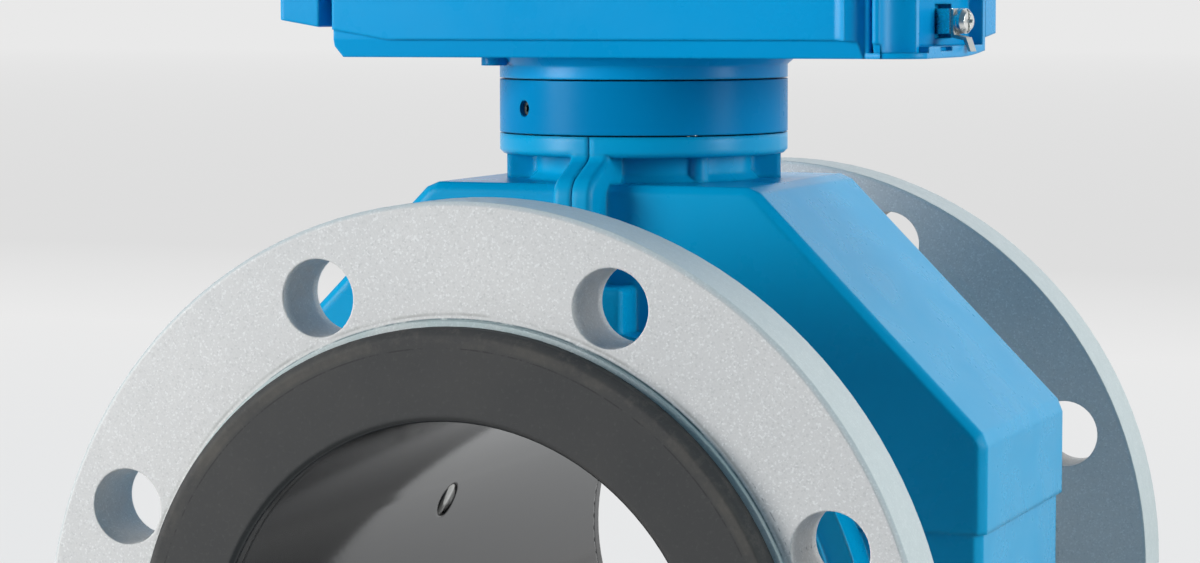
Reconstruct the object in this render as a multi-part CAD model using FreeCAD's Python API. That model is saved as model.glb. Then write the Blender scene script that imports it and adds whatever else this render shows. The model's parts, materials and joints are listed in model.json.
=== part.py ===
import FreeCAD, Part
import math
import os

# Electromagnetic flow meter, DN 150, with half-shell sensor housing and a transmitter on a neck.
# Millimetres. Origin on the pipe axis at mid length. +Y is the flow direction, from the inlet
# (-Y) to the outlet (+Y). +Z points up through the neck. +X is the right side seen from the inlet.

V = FreeCAD.Vector
X_AXIS = V(1, 0, 0)
Y_AXIS = V(0, 1, 0)
Z_AXIS = V(0, 0, 1)

# ---- process connection -------------------------------------------------------------------
FLANGE_DIAMETER = 280.0
FLANGE_THICKNESS = 22.0
FLANGE_EDGE_BEVEL = 1.2
BOLT_TO_RIM = 20.0                 # from the bolt circle to the flange's rim
BOLT_HOLE = 23.0
BOLT_COUNT = 8
BOLT_TO_RAISED_FACE = 14.0         # from the bolt circle to the raised face's edge
RAISED_FACE_HEIGHT = 2.0
FLANGE_FACE_SPACING = 284.0        # from one flange face to the other, without the raised faces

# ---- measuring tube and liner -------------------------------------------------------------
TUBE_DIAMETER = 168.3
TUBE_WALL = 2.6
BORE = 155.0
LINER_FACE_SETBACK = 1.6           # of the liner's rim from the raised face's edge
LINER_FACE_THICKNESS = 6.0
LINER_FACE_EDGE = 2.0
LINER_MOUTH_EDGE = 1.5
LINER_PLAY = 0.12

# ---- sensor housing -----------------------------------------------------------------------
HOUSING_WIDTH = 257.0
HOUSING_HEIGHT = 279.6
HOUSING_DEPTH = 96.0
HOUSING_TOP_WIDTH = 109.2          # flat top between the two 45 degree slopes
HOUSING_WALL = 4.0
HOUSING_EDGE = 4.0
BELT_HEIGHT = 73.8                 # recessed belt round the middle of the housing
BELT_INSET = 1.5
SEAM_GAP = 0.4
COLLAR_WALL = 11.85                # from the tube's outside to the collar's
COLLAR_LIP_WALL = 3.85
COLLAR_LENGTH = 13.0
COLLAR_LIP = 2.0
COLLAR_PLAY = 0.15
RIB_WIDTH = 13.0
RIB_EDGE = 2.0
PAD_WIDTH = 33.0
PAD_ABOVE_COLLAR = 13.0
SHELL_SCREW = 5.0
SHELL_SCREW_HEAD = 8.5
SHELL_SCREW_HEAD_HEIGHT = 5.0
SCREW_PLAY = 0.1

# ---- neck ---------------------------------------------------------------------------------
NECK_DIAMETER = 93.5
POCKET_HEIGHT = 8.3                # from the housing's top to the neck's lower ring
LOWER_RING_HEIGHT = 6.5
LOWER_RING_EDGE = 1.2
NECK_RING_HEIGHT = 16.9
NECK_GAP = 0.5
NECK_CORE_DIAMETER = 70.0
NECK_CORE_FLARE = 2.5
NECK_BORE = 52.0
WEB_THICKNESS = 2.4
WEB_REACH = 44.5
WEB_ANGLE = 20.0
COLUMN_RADIUS = 3.0
COLUMN_ANGLE = -39.0
SPIGOT_DIAMETER = 60.0
SPIGOT_PLAY = 0.08
SPIGOT_BORE = 48.0
SPIGOT_LENGTH = 13.0
SPIGOT_GROOVE_DEPTH = 1.5
LOCK_SCREW = 5.0
LOCK_SCREW_LENGTH = 12.0
LOCK_SCREW_ANGLE = -122.5
LOCK_SCREW_DEPTH = 1.6
LOCK_SCREW_SOCKET = 2.5
NECK_SCREW = 4.0
NECK_SCREW_CIRCLE = 76.0
NECK_SCREW_COUNT = 4
NECK_SCREW_REACH = 5.0
ORING_THICKNESS = 2.4
ORING_SQUEEZE = 0.05
ORING_DROP = 2.6

# ---- electrodes ---------------------------------------------------------------------------
ELECTRODE_HEAD = 11.4
ELECTRODE_HEAD_THICKNESS = 2.0
ELECTRODE_STEM = 6.0
ELECTRODE_LENGTH = 22.0
ELECTRODE_RECESS_PLAY = 0.35
ELECTRODE_PLAY = 0.05
ELECTRODE_RAISE = 22.5             # the measuring electrodes' angle above the horizontal
BUSH_DIAMETER = 13.0
BUSH_STANDOUT = 4.0
CORE_CLEARANCE = 5.0               # of the hollow core from the bush inside it
ELECTRODE_NUT = 10.0
ELECTRODE_NUT_HEIGHT = 5.0

# ---- magnet -------------------------------------------------------------------------------
SHOE_THICKNESS = 4.0
SHOE_ARC = 70.0
SHOE_LENGTH = 64.0
SHOE_PLAY = 0.3
CORE_DIAMETER = 34.0
COIL_DIAMETER = 78.0
COIL_BORE = 36.0
COIL_HEIGHT = 22.0
YOKE_THICKNESS = 3.0
YOKE_WIDTH = 60.0
YOKE_CLEARANCE = 2.0               # between the yoke and the inside of the housing
YOKE_CABLE_HOLE = 8.0

# ---- transmitter housing ------------------------------------------------------------------
BODY_LEFT = -102.4
BODY_FRONT = -58.0
BODY_REAR = 15.0
BODY_HEIGHT = 160.6
BODY_WALL = 4.0
BODY_RIGHT = 110.0                 # outer plane of the lip and of the cover
BODY_CORNER = 97.8                 # right front corner
BODY_EDGE = 1.5
FOOT_HEIGHT = 5.6                  # from the housing's underside to the front panel's bottom edge
PARTING_KNEE = -64.5
PARTING_SLOPE = 0.166              # rise per millimetre to the left of the knee
FOOT_LEFT_TOP = -87.6
FOOT_LEFT_BOTTOM = -81.1
FOOT_INSET_TOP = 1.0
FOOT_INSET_BOTTOM = 3.0
GROOVE_LEFT = -88.3
GROOVE_WIDTH = 4.8
PANEL_DEPTH = 12.0
BEAD_LEFT = 84.0                   # a bead ends the front panel on the right
BEAD_PEAK = 87.4
BEAD_HEIGHT = 1.3
BEAD_RIGHT = 92.2
BEAD_FALL = 3.2
SLIT_LEFT = 93.8
SLIT_RIGHT = 95.5
SLIT_DEPTH = 9.0
FIN_RIGHT = 107.0
FIN_BACK = -50.5
FIN_THICKNESS = 3.0
RECESS_WALL = 96.0
ENTRY_WALL_ANGLE = -18.2           # the wall that holds the entries is turned towards the inlet
ENTRY_WALL_X = 101.0
ENTRY_WALL_Y = -1.5
RIM_THICKNESS = 3.0
LIP_THICKNESS = 1.8
LIP_STEP = 1.8
LIP_STEP_Y = -47.0
LIP_ROOT_DEPTH = 16.0              # how far the lip runs in under the recess
LIP_RISE = 1.8
LIP_RISE_START = -12.0
LIP_SLOT_FRONT = -35.0
LIP_SLOT_LENGTH = 13.0
LIP_SLOT_HEIGHT = 1.3
NECK_FLARE = 3.3
UPPER_RING_HEIGHT = 4.1
NECK_FLARE_HEIGHT = 2.8
FOOT_BOSS_DIAMETER = 8.2
FOOT_BOSS_X = -37.0
FOOT_BOSS_Y = -36.0
CAVITY_STEP = 10.0
OPENING_FRAME = 4.5
OPENING_LEFT = -83.0
OPENING_RIGHT = 88.0
OPENING_SILL = 12.0
OPENING_HEAD = 16.0

# ---- cover --------------------------------------------------------------------------------
COVER_GAP = 0.3
COVER_REAR = 31.0
COVER_WALL = 3.5
COVER_EDGE = 4.0
COVER_SETUP = 0.2                  # of the cover's bottom edge above the front panel's
COVER_BOTTOM_RISE = 1.8
COVER_SCREW = 5.0
COVER_SCREW_HEAD = 9.0
COVER_SCREW_INSET = 10.0
GASKET_THICKNESS = 3.0
GASKET_WIDTH = 2.5
GASKET_OUTSET = 1.5
GASKET_PLAY = 0.1
WINDOW_WIDTH = 104.0
WINDOW_HEIGHT = 62.0
WINDOW_CENTRE_X = 5.0
WINDOW_DROP = 38.0                 # of the window's centre below the top of the opening
WINDOW_SEAT = 5.0
WINDOW_THICKNESS = 4.0
FRAME_THICKNESS = 2.5
HINGE_STANDOFF = 0.5
HINGE_Y = 22.0
HINGE_PIN = 4.0
HINGE_PLAY = 0.06
HINGE_KNUCKLE = 9.0
HINGE_KNUCKLE_LENGTH = 14.0
HINGE_INSET = 32.0
HINGE_SIDE_PLAY = 0.35

# ---- electronics --------------------------------------------------------------------------
CARRIER_THICKNESS = 2.5
CARRIER_STANDOFF = 18.0            # from the housing's front wall
CARRIER_FOOT = 8.0
CARRIER_POST = 7.0
CARRIER_POST_INSET = 6.0
BOARD_THICKNESS = 1.6
BOARD_INSET = 12.0
CHIP_COUNT = 4
CHIP_START = 14.0
CHIP_PITCH = 32.0
CHIP_WIDTH = 18.0
CHIP_LENGTH = 25.0
CHIP_HEIGHT = 7.0
CHIP_RISE = 18.0
CAPACITOR_DIAMETER = 16.0
CAPACITOR_HEIGHT = 12.0
CAPACITOR_START = 25.0
CAPACITOR_RISE = 83.0
DISPLAY_WIDTH = 110.0
DISPLAY_HEIGHT = 68.0
DISPLAY_THICKNESS = 12.0
DISPLAY_GLASS_WIDTH = 80.0
DISPLAY_GLASS_DROP = 14.0          # of the glass below the window's centre
DISPLAY_GLASS_RISE = 26.0
TERMINAL_BLOCK_LENGTH = 50.0
TERMINAL_BLOCK_COUNT = 2
TERMINAL_BLOCK_LEFT = -50.0
TERMINAL_BLOCK_GAP = 12.0
TERMINAL_BLOCK_DEPTH = 14.0
TERMINAL_BLOCK_TOP_DEPTH = 8.0
TERMINAL_BLOCK_HEIGHT = 16.0
TERMINAL_BLOCK_STEP = 8.0

# ---- cable entries ------------------------------------------------------------------------
GLAND_RISE = 32.0
GLAND_PITCH = 36.0
GLAND_THREAD = 20.0
GLAND_HEX = 24.0
GLAND_HEX_HEIGHT = 7.0
GLAND_NUT_HEIGHT = 11.0
GLAND_NUT_GAP = 0.3
GLAND_NOSE = 7.0
GLAND_SEAL_LENGTH = 12.0
GLAND_CABLE = 8.0
GLAND_PLUG_HEAD = 14.5
GLAND_BORE = 13.0
GLAND_BACK_LENGTH = 12.0

# ---- ground terminal ----------------------------------------------------------------------
TERMINAL_RISE = 7.4
STRAP_HEIGHT = 7.8
STRAP_WIDTH = 7.6
STRAP_REACH = 5.6
STRAP_SHEET = 1.0
STRAP_SLOT_PLAY = 1.4
STRAP_DEPTH = 4.0
CLAMP_SHEET = 0.9
TONGUE_OUT = 5.4
TONGUE_LEAN = 1.8
TONGUE_DROP = 4.4
TONGUE_WIDTH = 3.2
TONGUE_SHIFT = -2.0
WASHER_DIAMETER = 8.0
WASHER_THICKNESS = 0.8
GROUND_SCREW = 4.0
GROUND_SCREW_HEAD = 7.9
GROUND_SCREW_HEAD_HEIGHT = 2.4

# ---- values worked out from the sizes above -----------------------------------------------
BOLT_CIRCLE = FLANGE_DIAMETER - 2 * BOLT_TO_RIM
RAISED_FACE_DIAMETER = BOLT_CIRCLE - 2 * BOLT_TO_RAISED_FACE
LINER_FACE_DIAMETER = RAISED_FACE_DIAMETER - 2 * LINER_FACE_SETBACK
FACE_Y = FLANGE_FACE_SPACING / 2
BACK_Y = FACE_Y - FLANGE_THICKNESS
RAISED_Y = FACE_Y + RAISED_FACE_HEIGHT
END_Y = RAISED_Y + LINER_FACE_THICKNESS
TUBE_R = TUBE_DIAMETER / 2
TUBE_INNER_R = TUBE_R - TUBE_WALL
BORE_R = BORE / 2
SHELL_HALF_WIDTH = HOUSING_WIDTH / 2
SHELL_TOP = HOUSING_HEIGHT / 2
SHELL_HALF_DEPTH = HOUSING_DEPTH / 2
COLLAR_Y = SHELL_HALF_DEPTH + COLLAR_LENGTH
COLLAR_BORE_R = TUBE_R + COLLAR_PLAY
COLLAR_DIAMETER = TUBE_DIAMETER + 2 * COLLAR_WALL
COLLAR_LIP_DIAMETER = TUBE_DIAMETER + 2 * COLLAR_LIP_WALL
PAD_TOP = COLLAR_DIAMETER / 2 + PAD_ABOVE_COLLAR
NECK_R = NECK_DIAMETER / 2
LOWER_RING_BOTTOM = SHELL_TOP + POCKET_HEIGHT
LOWER_RING_TOP = LOWER_RING_BOTTOM + LOWER_RING_HEIGHT
NECK_RING_BOTTOM = LOWER_RING_TOP + NECK_GAP
NECK_RING_TOP = NECK_RING_BOTTOM + NECK_RING_HEIGHT
UPPER_RING_BOTTOM = NECK_RING_TOP + NECK_GAP
FLARE_BOTTOM = UPPER_RING_BOTTOM + UPPER_RING_HEIGHT
BODY_BOTTOM = FLARE_BOTTOM + NECK_FLARE_HEIGHT
PARTING_HEIGHT = BODY_BOTTOM + FOOT_HEIGHT
LIP_LOW = BODY_BOTTOM + LIP_THICKNESS
LIP_HIGH = LIP_LOW + LIP_STEP
CAVITY_FLOOR = PARTING_HEIGHT + BODY_WALL
CAVITY_FLOOR_LEFT = PARTING_HEIGHT + CAVITY_STEP
BODY_TOP = BODY_BOTTOM + BODY_HEIGHT
OPENING_BOTTOM = CAVITY_FLOOR_LEFT + OPENING_SILL
OPENING_TOP = BODY_TOP - OPENING_HEAD
COVER_BOTTOM = PARTING_HEIGHT + COVER_SETUP
WINDOW_CENTRE_Z = OPENING_TOP - WINDOW_DROP
TERMINAL_HEIGHT = LIP_HIGH + TERMINAL_RISE
HINGE_HEIGHTS = (COVER_BOTTOM + HINGE_INSET, BODY_TOP - HINGE_INSET)
GLAND_HEIGHTS = (CAVITY_FLOOR_LEFT + GLAND_RISE, CAVITY_FLOOR_LEFT + GLAND_RISE + GLAND_PITCH)
SPIGOT_R = SPIGOT_DIAMETER / 2
RUNNING_BORE_R = SPIGOT_R + SPIGOT_PLAY
SHOE_INNER_R = TUBE_R + SHOE_PLAY
SHOE_OUTER_R = SHOE_INNER_R + SHOE_THICKNESS
YOKE_OUTER = HOUSING_WALL + YOKE_CLEARANCE      # how far the yoke lies inside the housing's outline
YOKE_INNER_Z = SHELL_TOP - YOKE_OUTER - YOKE_THICKNESS
COVER_FRONT = BODY_REAR + COVER_GAP
HINGE_X = BODY_LEFT - HINGE_KNUCKLE / 2 - HINGE_STANDOFF
ENTRY_DIRECTION = V(math.cos(math.radians(ENTRY_WALL_ANGLE)), math.sin(math.radians(ENTRY_WALL_ANGLE)), 0)


# ---- helpers ------------------------------------------------------------------------------
def box(x0, x1, y0, y1, z0, z1):
    return Part.makeBox(x1 - x0, y1 - y0, z1 - z0, V(x0, y0, z0))


def rod(diameter, start, axis, length):
    return Part.makeCylinder(diameter / 2, length, start, axis)


def pipe(outer, inner, start, axis, length):
    return rod(outer, start, axis, length).cut(rod(inner, start, axis, length))


def hexagon(across_flats, start, axis, length):
    """A hexagonal bar from start along axis."""
    corner = across_flats / math.sqrt(3)
    points = [V(corner * math.cos(math.radians(60 * i)), corner * math.sin(math.radians(60 * i)), 0)
              for i in range(7)]
    bar = Part.Face(Part.makePolygon(points)).extrude(V(0, 0, length))
    bar.Placement = FreeCAD.Placement(start, FreeCAD.Rotation(Z_AXIS, axis))
    return bar


def outline(points):
    """A closed wire. A point is (u, v), or (u, v, through_u, through_v) for an arc to it."""
    edges = []
    count = len(points)
    for i in range(count):
        start = V(points[i][0], points[i][1], 0)
        target = points[(i + 1) % count]
        end = V(target[0], target[1], 0)
        if len(target) == 4:
            edges.append(Part.Arc(start, V(target[2], target[3], 0), end).toShape())
        else:
            edges.append(Part.LineSegment(start, end).toShape())
    return Part.Wire(edges)


def prism_z(points, z0, z1):
    """Extrude an outline drawn in X and Y from z0 to z1."""
    face = Part.Face(outline(points))
    face.translate(V(0, 0, z0))
    return face.extrude(V(0, 0, z1 - z0))


def prism_y(points, y0, y1):
    """Extrude an outline drawn in X and Z from y0 to y1."""
    face = Part.Face(outline(points))
    face.rotate(V(0, 0, 0), X_AXIS, 90)
    face.translate(V(0, y0, 0))
    return face.extrude(V(0, y1 - y0, 0))


def prism_x(points, x0, x1):
    """Extrude an outline drawn in Y and Z from x0 to x1."""
    face = Part.Face(outline(points))
    face.Placement = FreeCAD.Placement(V(x0, 0, 0), FreeCAD.Rotation(Y_AXIS, Z_AXIS, X_AXIS, "ZXY"))
    return face.extrude(V(x1 - x0, 0, 0))


def lathe_y(points):
    """Turn an outline of (radius, y) points about the pipe axis."""
    face = Part.Face(outline(points))
    return face.revolve(V(0, 0, 0), Y_AXIS, 360)


def lathe_z(points):
    """Turn an outline of (radius, z) points about the neck axis."""
    face = Part.Face(outline(points))
    face.rotate(V(0, 0, 0), X_AXIS, 90)
    return face.revolve(V(0, 0, 0), Z_AXIS, 360)


def round_edges(shape, radius, wanted):
    """Fillet the edges whose centre of mass passes the test."""
    edges = [edge for edge in shape.Edges if wanted(edge)]
    return shape.makeFillet(radius, edges)


def bevel_edges(shape, size, wanted):
    """Chamfer the edges that pass the test."""
    edges = [edge for edge in shape.Edges if wanted(edge)]
    return shape.makeChamfer(size, edges)


def is_along(edge, axis):
    """True for a straight edge parallel to axis."""
    if len(edge.Vertexes) != 2:
        return False
    run = edge.Vertexes[1].Point.sub(edge.Vertexes[0].Point)
    return run.Length > 0 and abs(abs(run.normalize().dot(axis)) - 1) < 1e-6


def turned(shape, degrees):
    """A copy turned about the neck axis."""
    copy = shape.copy()
    copy.rotate(V(0, 0, 0), Z_AXIS, degrees)
    return copy


def about_pipe(shape, degrees):
    """A copy of a shape that stands on +X, moved round the pipe axis to an angle above +X."""
    copy = shape.copy()
    copy.rotate(V(0, 0, 0), Y_AXIS, -degrees)
    return copy


def merge(shapes):
    result = shapes[0]
    if len(shapes) > 1:
        result = result.fuse(shapes[1:])
    return result.removeSplitter()


def save(name, solids):
    shape = solids[0] if len(solids) == 1 else Part.makeCompound(solids)
    shape.exportStep("parts/" + name + ".step")


# ---- process connection -------------------------------------------------------------------
def flange(side):
    """A flange with its raised face at y = side * RAISED_Y, welded to the tube at its back."""
    rim = FLANGE_DIAMETER / 2
    bevel = FLANGE_EDGE_BEVEL
    profile = [
        (TUBE_R, RAISED_Y),
        (RAISED_FACE_DIAMETER / 2, RAISED_Y),
        (RAISED_FACE_DIAMETER / 2, FACE_Y),
        (rim - bevel, FACE_Y),
        (rim, FACE_Y - bevel),
        (rim, BACK_Y),
        (TUBE_R, BACK_Y),
    ]
    body = lathe_y([(r, side * y) for r, y in profile])
    drills = []
    for i in range(BOLT_COUNT):
        angle = math.radians(360 / BOLT_COUNT * (i + 0.5))
        x = BOLT_CIRCLE / 2 * math.cos(angle)
        z = BOLT_CIRCLE / 2 * math.sin(angle)
        drills.append(rod(BOLT_HOLE, V(x, side * BACK_Y, z), V(0, side, 0), FLANGE_THICKNESS))
    return body.cut(drills)


def measuring_tube(stems):
    tube = pipe(TUBE_DIAMETER, 2 * TUBE_INNER_R, V(0, -RAISED_Y, 0), Y_AXIS, 2 * RAISED_Y)
    return tube.cut([about_pipe(hole, angle) for angle, hole in stems])


def liner():
    """The rubber sleeve inside the tube, with a recess and a hole for each electrode."""
    sleeve = pipe(2 * (TUBE_INNER_R - LINER_PLAY), BORE, V(0, -RAISED_Y, 0), Y_AXIS, 2 * RAISED_Y)
    stem = rod(ELECTRODE_STEM + 2 * SCREW_PLAY, V(BORE_R - 1, 0, 0), X_AXIS, TUBE_R - BORE_R + 1)
    recess_end = BORE_R + ELECTRODE_HEAD_THICKNESS + ELECTRODE_PLAY
    recess = rod(ELECTRODE_HEAD + 2 * ELECTRODE_RECESS_PLAY, V(BORE_R - 2, 0, 0), X_AXIS, recess_end - BORE_R + 2)
    cutter = merge([stem, recess])
    return sleeve.cut([about_pipe(cutter, angle) for angle in ELECTRODE_ANGLES])


def liner_face(side):
    """The rubber ring bonded on the raised face and to the end of the sleeve."""
    face = LINER_FACE_DIAMETER / 2
    return lathe_y([(r, side * y) for r, y in [
        (BORE_R, RAISED_Y),
        (BORE_R, END_Y - LINER_MOUTH_EDGE),
        (BORE_R + LINER_MOUTH_EDGE, END_Y),
        (face - LINER_FACE_EDGE, END_Y),
        (face, END_Y - LINER_FACE_EDGE),
        (face, RAISED_Y),
    ]])


# ---- electrodes ---------------------------------------------------------------------------
ELECTRODE_ANGLES = (ELECTRODE_RAISE, 180 - ELECTRODE_RAISE, 90.0, 270.0)
ELECTRODE_NAMES = ("electrode_right", "electrode_left", "electrode_top", "electrode_bottom")
ELECTRODE_FACE_X = BORE_R + ELECTRODE_PLAY
BUSH_TOP_X = TUBE_R + BUSH_STANDOUT


def electrode():
    """A mushroom electrode on +X, its head in the liner's recess and its stem pointing out."""
    head = rod(ELECTRODE_HEAD, V(ELECTRODE_FACE_X, 0, 0), X_AXIS, ELECTRODE_HEAD_THICKNESS - ELECTRODE_PLAY)
    stem = rod(ELECTRODE_STEM, V(ELECTRODE_FACE_X + 0.6, 0, 0), X_AXIS, ELECTRODE_LENGTH)
    return merge([head, stem])


def electrode_bush():
    """The insulating bush in the tube's hole, standing out where the nut bears on it."""
    tip = TUBE_INNER_R + SCREW_PLAY
    return pipe(BUSH_DIAMETER, ELECTRODE_STEM + SCREW_PLAY, V(tip, 0, 0), X_AXIS, BUSH_TOP_X - tip)


def tube_hole():
    return rod(BUSH_DIAMETER + 2 * SCREW_PLAY, V(TUBE_INNER_R - 2, 0, 0), X_AXIS, TUBE_WALL + 5)


def electrode_nut():
    start = V(BUSH_TOP_X, 0, 0)
    nut = hexagon(ELECTRODE_NUT, start, X_AXIS, ELECTRODE_NUT_HEIGHT)
    return nut.cut(rod(ELECTRODE_STEM + SCREW_PLAY, start, X_AXIS, ELECTRODE_NUT_HEIGHT))


# ---- magnet -------------------------------------------------------------------------------
def octagon(inset):
    """The housing's outline in X and Z, moved inwards by inset."""
    wide = SHELL_HALF_WIDTH - inset
    high = SHELL_TOP - inset
    lean = HOUSING_TOP_WIDTH / 2 + SHELL_TOP - inset * math.sqrt(2)
    return [
        (wide, lean - wide), (lean - high, high), (high - lean, high), (-wide, lean - wide),
        (-wide, wide - lean), (high - lean, -high), (lean - high, -high), (wide, wide - lean),
    ]


def pole_shoe(side):
    """A curved plate on the tube, above (side 1) or below (side -1)."""
    half = SHOE_LENGTH / 2
    ring = pipe(2 * SHOE_OUTER_R, 2 * SHOE_INNER_R, V(0, -half, 0), Y_AXIS, SHOE_LENGTH)
    reach = SHOE_OUTER_R + 5
    spread = reach * math.tan(math.radians(SHOE_ARC / 2))
    wedge = prism_y([(0, 0), (spread, side * reach), (-spread, side * reach)], -half - 1, half + 1)
    stem = ELECTRODE_CLEARANCE_HOLE
    return ring.common(wedge).cut(rod(stem, V(0, 0, 0), V(0, 0, side), reach))


ELECTRODE_CLEARANCE_HOLE = BUSH_DIAMETER + CORE_CLEARANCE


def pole_core(side):
    """A hollow iron core from the shoe to the yoke. The electrode's nut sits inside it."""
    foot = SHOE_OUTER_R + SCREW_PLAY
    core = pipe(CORE_DIAMETER, ELECTRODE_CLEARANCE_HOLE, V(0, 0, side * foot), V(0, 0, side), YOKE_INNER_Z - foot)
    return core


def coil(side):
    foot = SHOE_OUTER_R + 0.3
    return pipe(COIL_DIAMETER, COIL_BORE, V(0, 0, side * foot), V(0, 0, side), COIL_HEIGHT)


def yoke(side):
    """One half of the return path, a band bent along the inside of the housing."""
    half = YOKE_WIDTH / 2
    outer = prism_y(octagon(YOKE_OUTER), -half, half)
    inner = prism_y(octagon(YOKE_OUTER + YOKE_THICKNESS), -half - 1, half + 1)
    band = outer.cut(inner)
    cable_hole = rod(YOKE_CABLE_HOLE, V(side * 14, half - 7, 0), Z_AXIS, SHELL_TOP)
    return band.common(half_space(side, 0.5)).cut(cable_hole)


# ---- sensor housing -----------------------------------------------------------------------
def housing_block(inset):
    """The closed outer form of the housing, with rounded edges."""
    half = SHELL_HALF_DEPTH - inset
    block = prism_y(octagon(inset), -half, half)
    return block.makeChamfer(HOUSING_EDGE * 0.6, block.Edges)


def seam_rib(side):
    """The rib along the seam: it flares out from the neck's lower ring and runs down to the collar."""
    front = COLLAR_Y
    top = SHELL_TOP
    points = [
        (NECK_R - 12, LOWER_RING_BOTTOM + 1),
        (NECK_R - 0.3, LOWER_RING_BOTTOM + 1),
        (NECK_R + 3.5, top + 6.2, NECK_R + 1.2, top + 7.4),
        (front - 4.5, top + 3.1),
        (front, top - 3.4, front - 1.2, top + 0.4),
        (front, 0),
        (NECK_R - 12, 0),
    ]
    if side < 0:
        points = [tuple(-value if i % 2 == 0 else value for i, value in enumerate(point)) for point in points]
    rib = prism_x(points, -RIB_WIDTH / 2, RIB_WIDTH / 2)
    return bevel_edges(rib, RIB_EDGE * 0.6, lambda e: abs(abs(e.CenterOfMass.x) - RIB_WIDTH / 2) < 0.01
                       and e.CenterOfMass.y * side > NECK_R + 0.5 and e.CenterOfMass.z > 1)


def lower_rib(side):
    """The seam rib below the pipe, from the bottom of the housing up to the collar."""
    reach = sorted((side * (SHELL_HALF_DEPTH - HOUSING_WALL), side * COLLAR_Y))
    rib = box(-RIB_WIDTH / 2, RIB_WIDTH / 2, reach[0], reach[1], -SHELL_TOP + HOUSING_EDGE, 0)
    return bevel_edges(rib, RIB_EDGE * 0.6, lambda e: abs(e.CenterOfMass.y - side * COLLAR_Y) < 0.01
                       and e.CenterOfMass.z < -1)


def screw_pad(side, up):
    """The thicker part of a seam rib beside the collar, where the shells are screwed together."""
    reach = sorted((side * (SHELL_HALF_DEPTH - HOUSING_WALL), side * COLLAR_Y))
    height = sorted((0, up * PAD_TOP))
    pad = box(-PAD_WIDTH / 2, PAD_WIDTH / 2, reach[0], reach[1], height[0], height[1])
    return bevel_edges(pad, RIB_EDGE * 0.6, lambda e: abs(e.CenterOfMass.z - up * PAD_TOP) < 0.01
                       or (is_along(e, Z_AXIS) and abs(e.CenterOfMass.y - side * COLLAR_Y) < 0.01))


def collar(side):
    start = SHELL_HALF_DEPTH - HOUSING_WALL
    return lathe_y([(r, side * y) for r, y in [
        (COLLAR_BORE_R, start),
        (COLLAR_BORE_R, COLLAR_Y + COLLAR_LIP),
        (COLLAR_LIP_DIAMETER / 2, COLLAR_Y + COLLAR_LIP),
        (COLLAR_LIP_DIAMETER / 2, COLLAR_Y),
        (COLLAR_DIAMETER / 2, COLLAR_Y),
        (COLLAR_DIAMETER / 2, start),
    ]])


def neck_foot():
    """The neck's part of the housing: a core with webs and columns that carries the lower ring."""
    core_r = NECK_CORE_DIAMETER / 2
    low = SHELL_TOP - HOUSING_WALL
    edge = LOWER_RING_EDGE
    core = lathe_z([
        (0, low),
        (core_r, low),
        (core_r + NECK_CORE_FLARE, SHELL_TOP - 0.1),
        (core_r, SHELL_TOP + NECK_CORE_FLARE),
        (core_r, LOWER_RING_BOTTOM),
        (NECK_R - edge, LOWER_RING_BOTTOM),
        (NECK_R, LOWER_RING_BOTTOM + edge),
        (NECK_R, LOWER_RING_TOP),
        (0, LOWER_RING_TOP),
    ])
    half = WEB_THICKNESS / 2
    web = box(core_r - 3, WEB_REACH, -half, half, low, LOWER_RING_BOTTOM + 1)
    column = rod(2 * COLUMN_RADIUS, V(core_r, 0, low), Z_AXIS, LOWER_RING_BOTTOM + 1 - low)
    pieces = [core]
    for half_turn in (0, 180):
        pieces.append(turned(web, WEB_ANGLE + half_turn))
        pieces.append(turned(column, COLUMN_ANGLE + half_turn))
    return pieces


def shell_screw_places():
    """Where the shells' screws cross the seam: (y, z) of each."""
    middle_y = SHELL_HALF_DEPTH + COLLAR_LENGTH / 2
    middle_z = (PAD_TOP + COLLAR_DIAMETER / 2) / 2
    return [(sy * middle_y, sz * middle_z) for sy in (-1, 1) for sz in (-1, 1)]


def whole_housing():
    outer = housing_block(0.0)
    slim = housing_block(BELT_INSET)
    half_belt = BELT_HEIGHT / 2
    reach = SHELL_HALF_WIDTH + 10
    band = box(-reach, reach, -COLLAR_Y, COLLAR_Y, -half_belt, half_belt)
    skin = merge([outer.cut(band), slim.common(band)])
    half = SHELL_HALF_DEPTH - HOUSING_WALL - BELT_INSET
    hollow = prism_y(octagon(HOUSING_WALL + 0.5), -half, half)
    body = skin.cut(hollow)
    added = neck_foot()
    for side in (-1, 1):
        added += [seam_rib(side), lower_rib(side), collar(side), screw_pad(side, 1), screw_pad(side, -1)]
    body = merge([body] + added)
    bore_reach = COLLAR_Y + COLLAR_LIP + 5
    bore_tool = rod(2 * COLLAR_BORE_R, V(0, -bore_reach, 0), Y_AXIS, 2 * bore_reach)
    neck_bore = rod(NECK_BORE, V(0, 0, SHELL_TOP - 30), Z_AXIS, POCKET_HEIGHT + LOWER_RING_HEIGHT + 40)
    return body.cut([bore_tool, neck_bore, hollow_under_neck(half)])


def hollow_under_neck(half):
    """The space behind the seam ribs, inside the housing."""
    top = SHELL_TOP - HOUSING_WALL - 0.5
    return box(-NECK_R, NECK_R, -half, half, top - HOUSING_TOP_WIDTH / 2, top)


def half_space(side, gap):
    """Everything on one side of the seam, from gap outwards."""
    reach = SHELL_HALF_WIDTH + 10
    top = LOWER_RING_TOP + 10
    keep = box(gap, reach, -COLLAR_Y - 10, COLLAR_Y + 10, -top, top)
    return keep if side > 0 else keep.mirror(V(0, 0, 0), X_AXIS)


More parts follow.
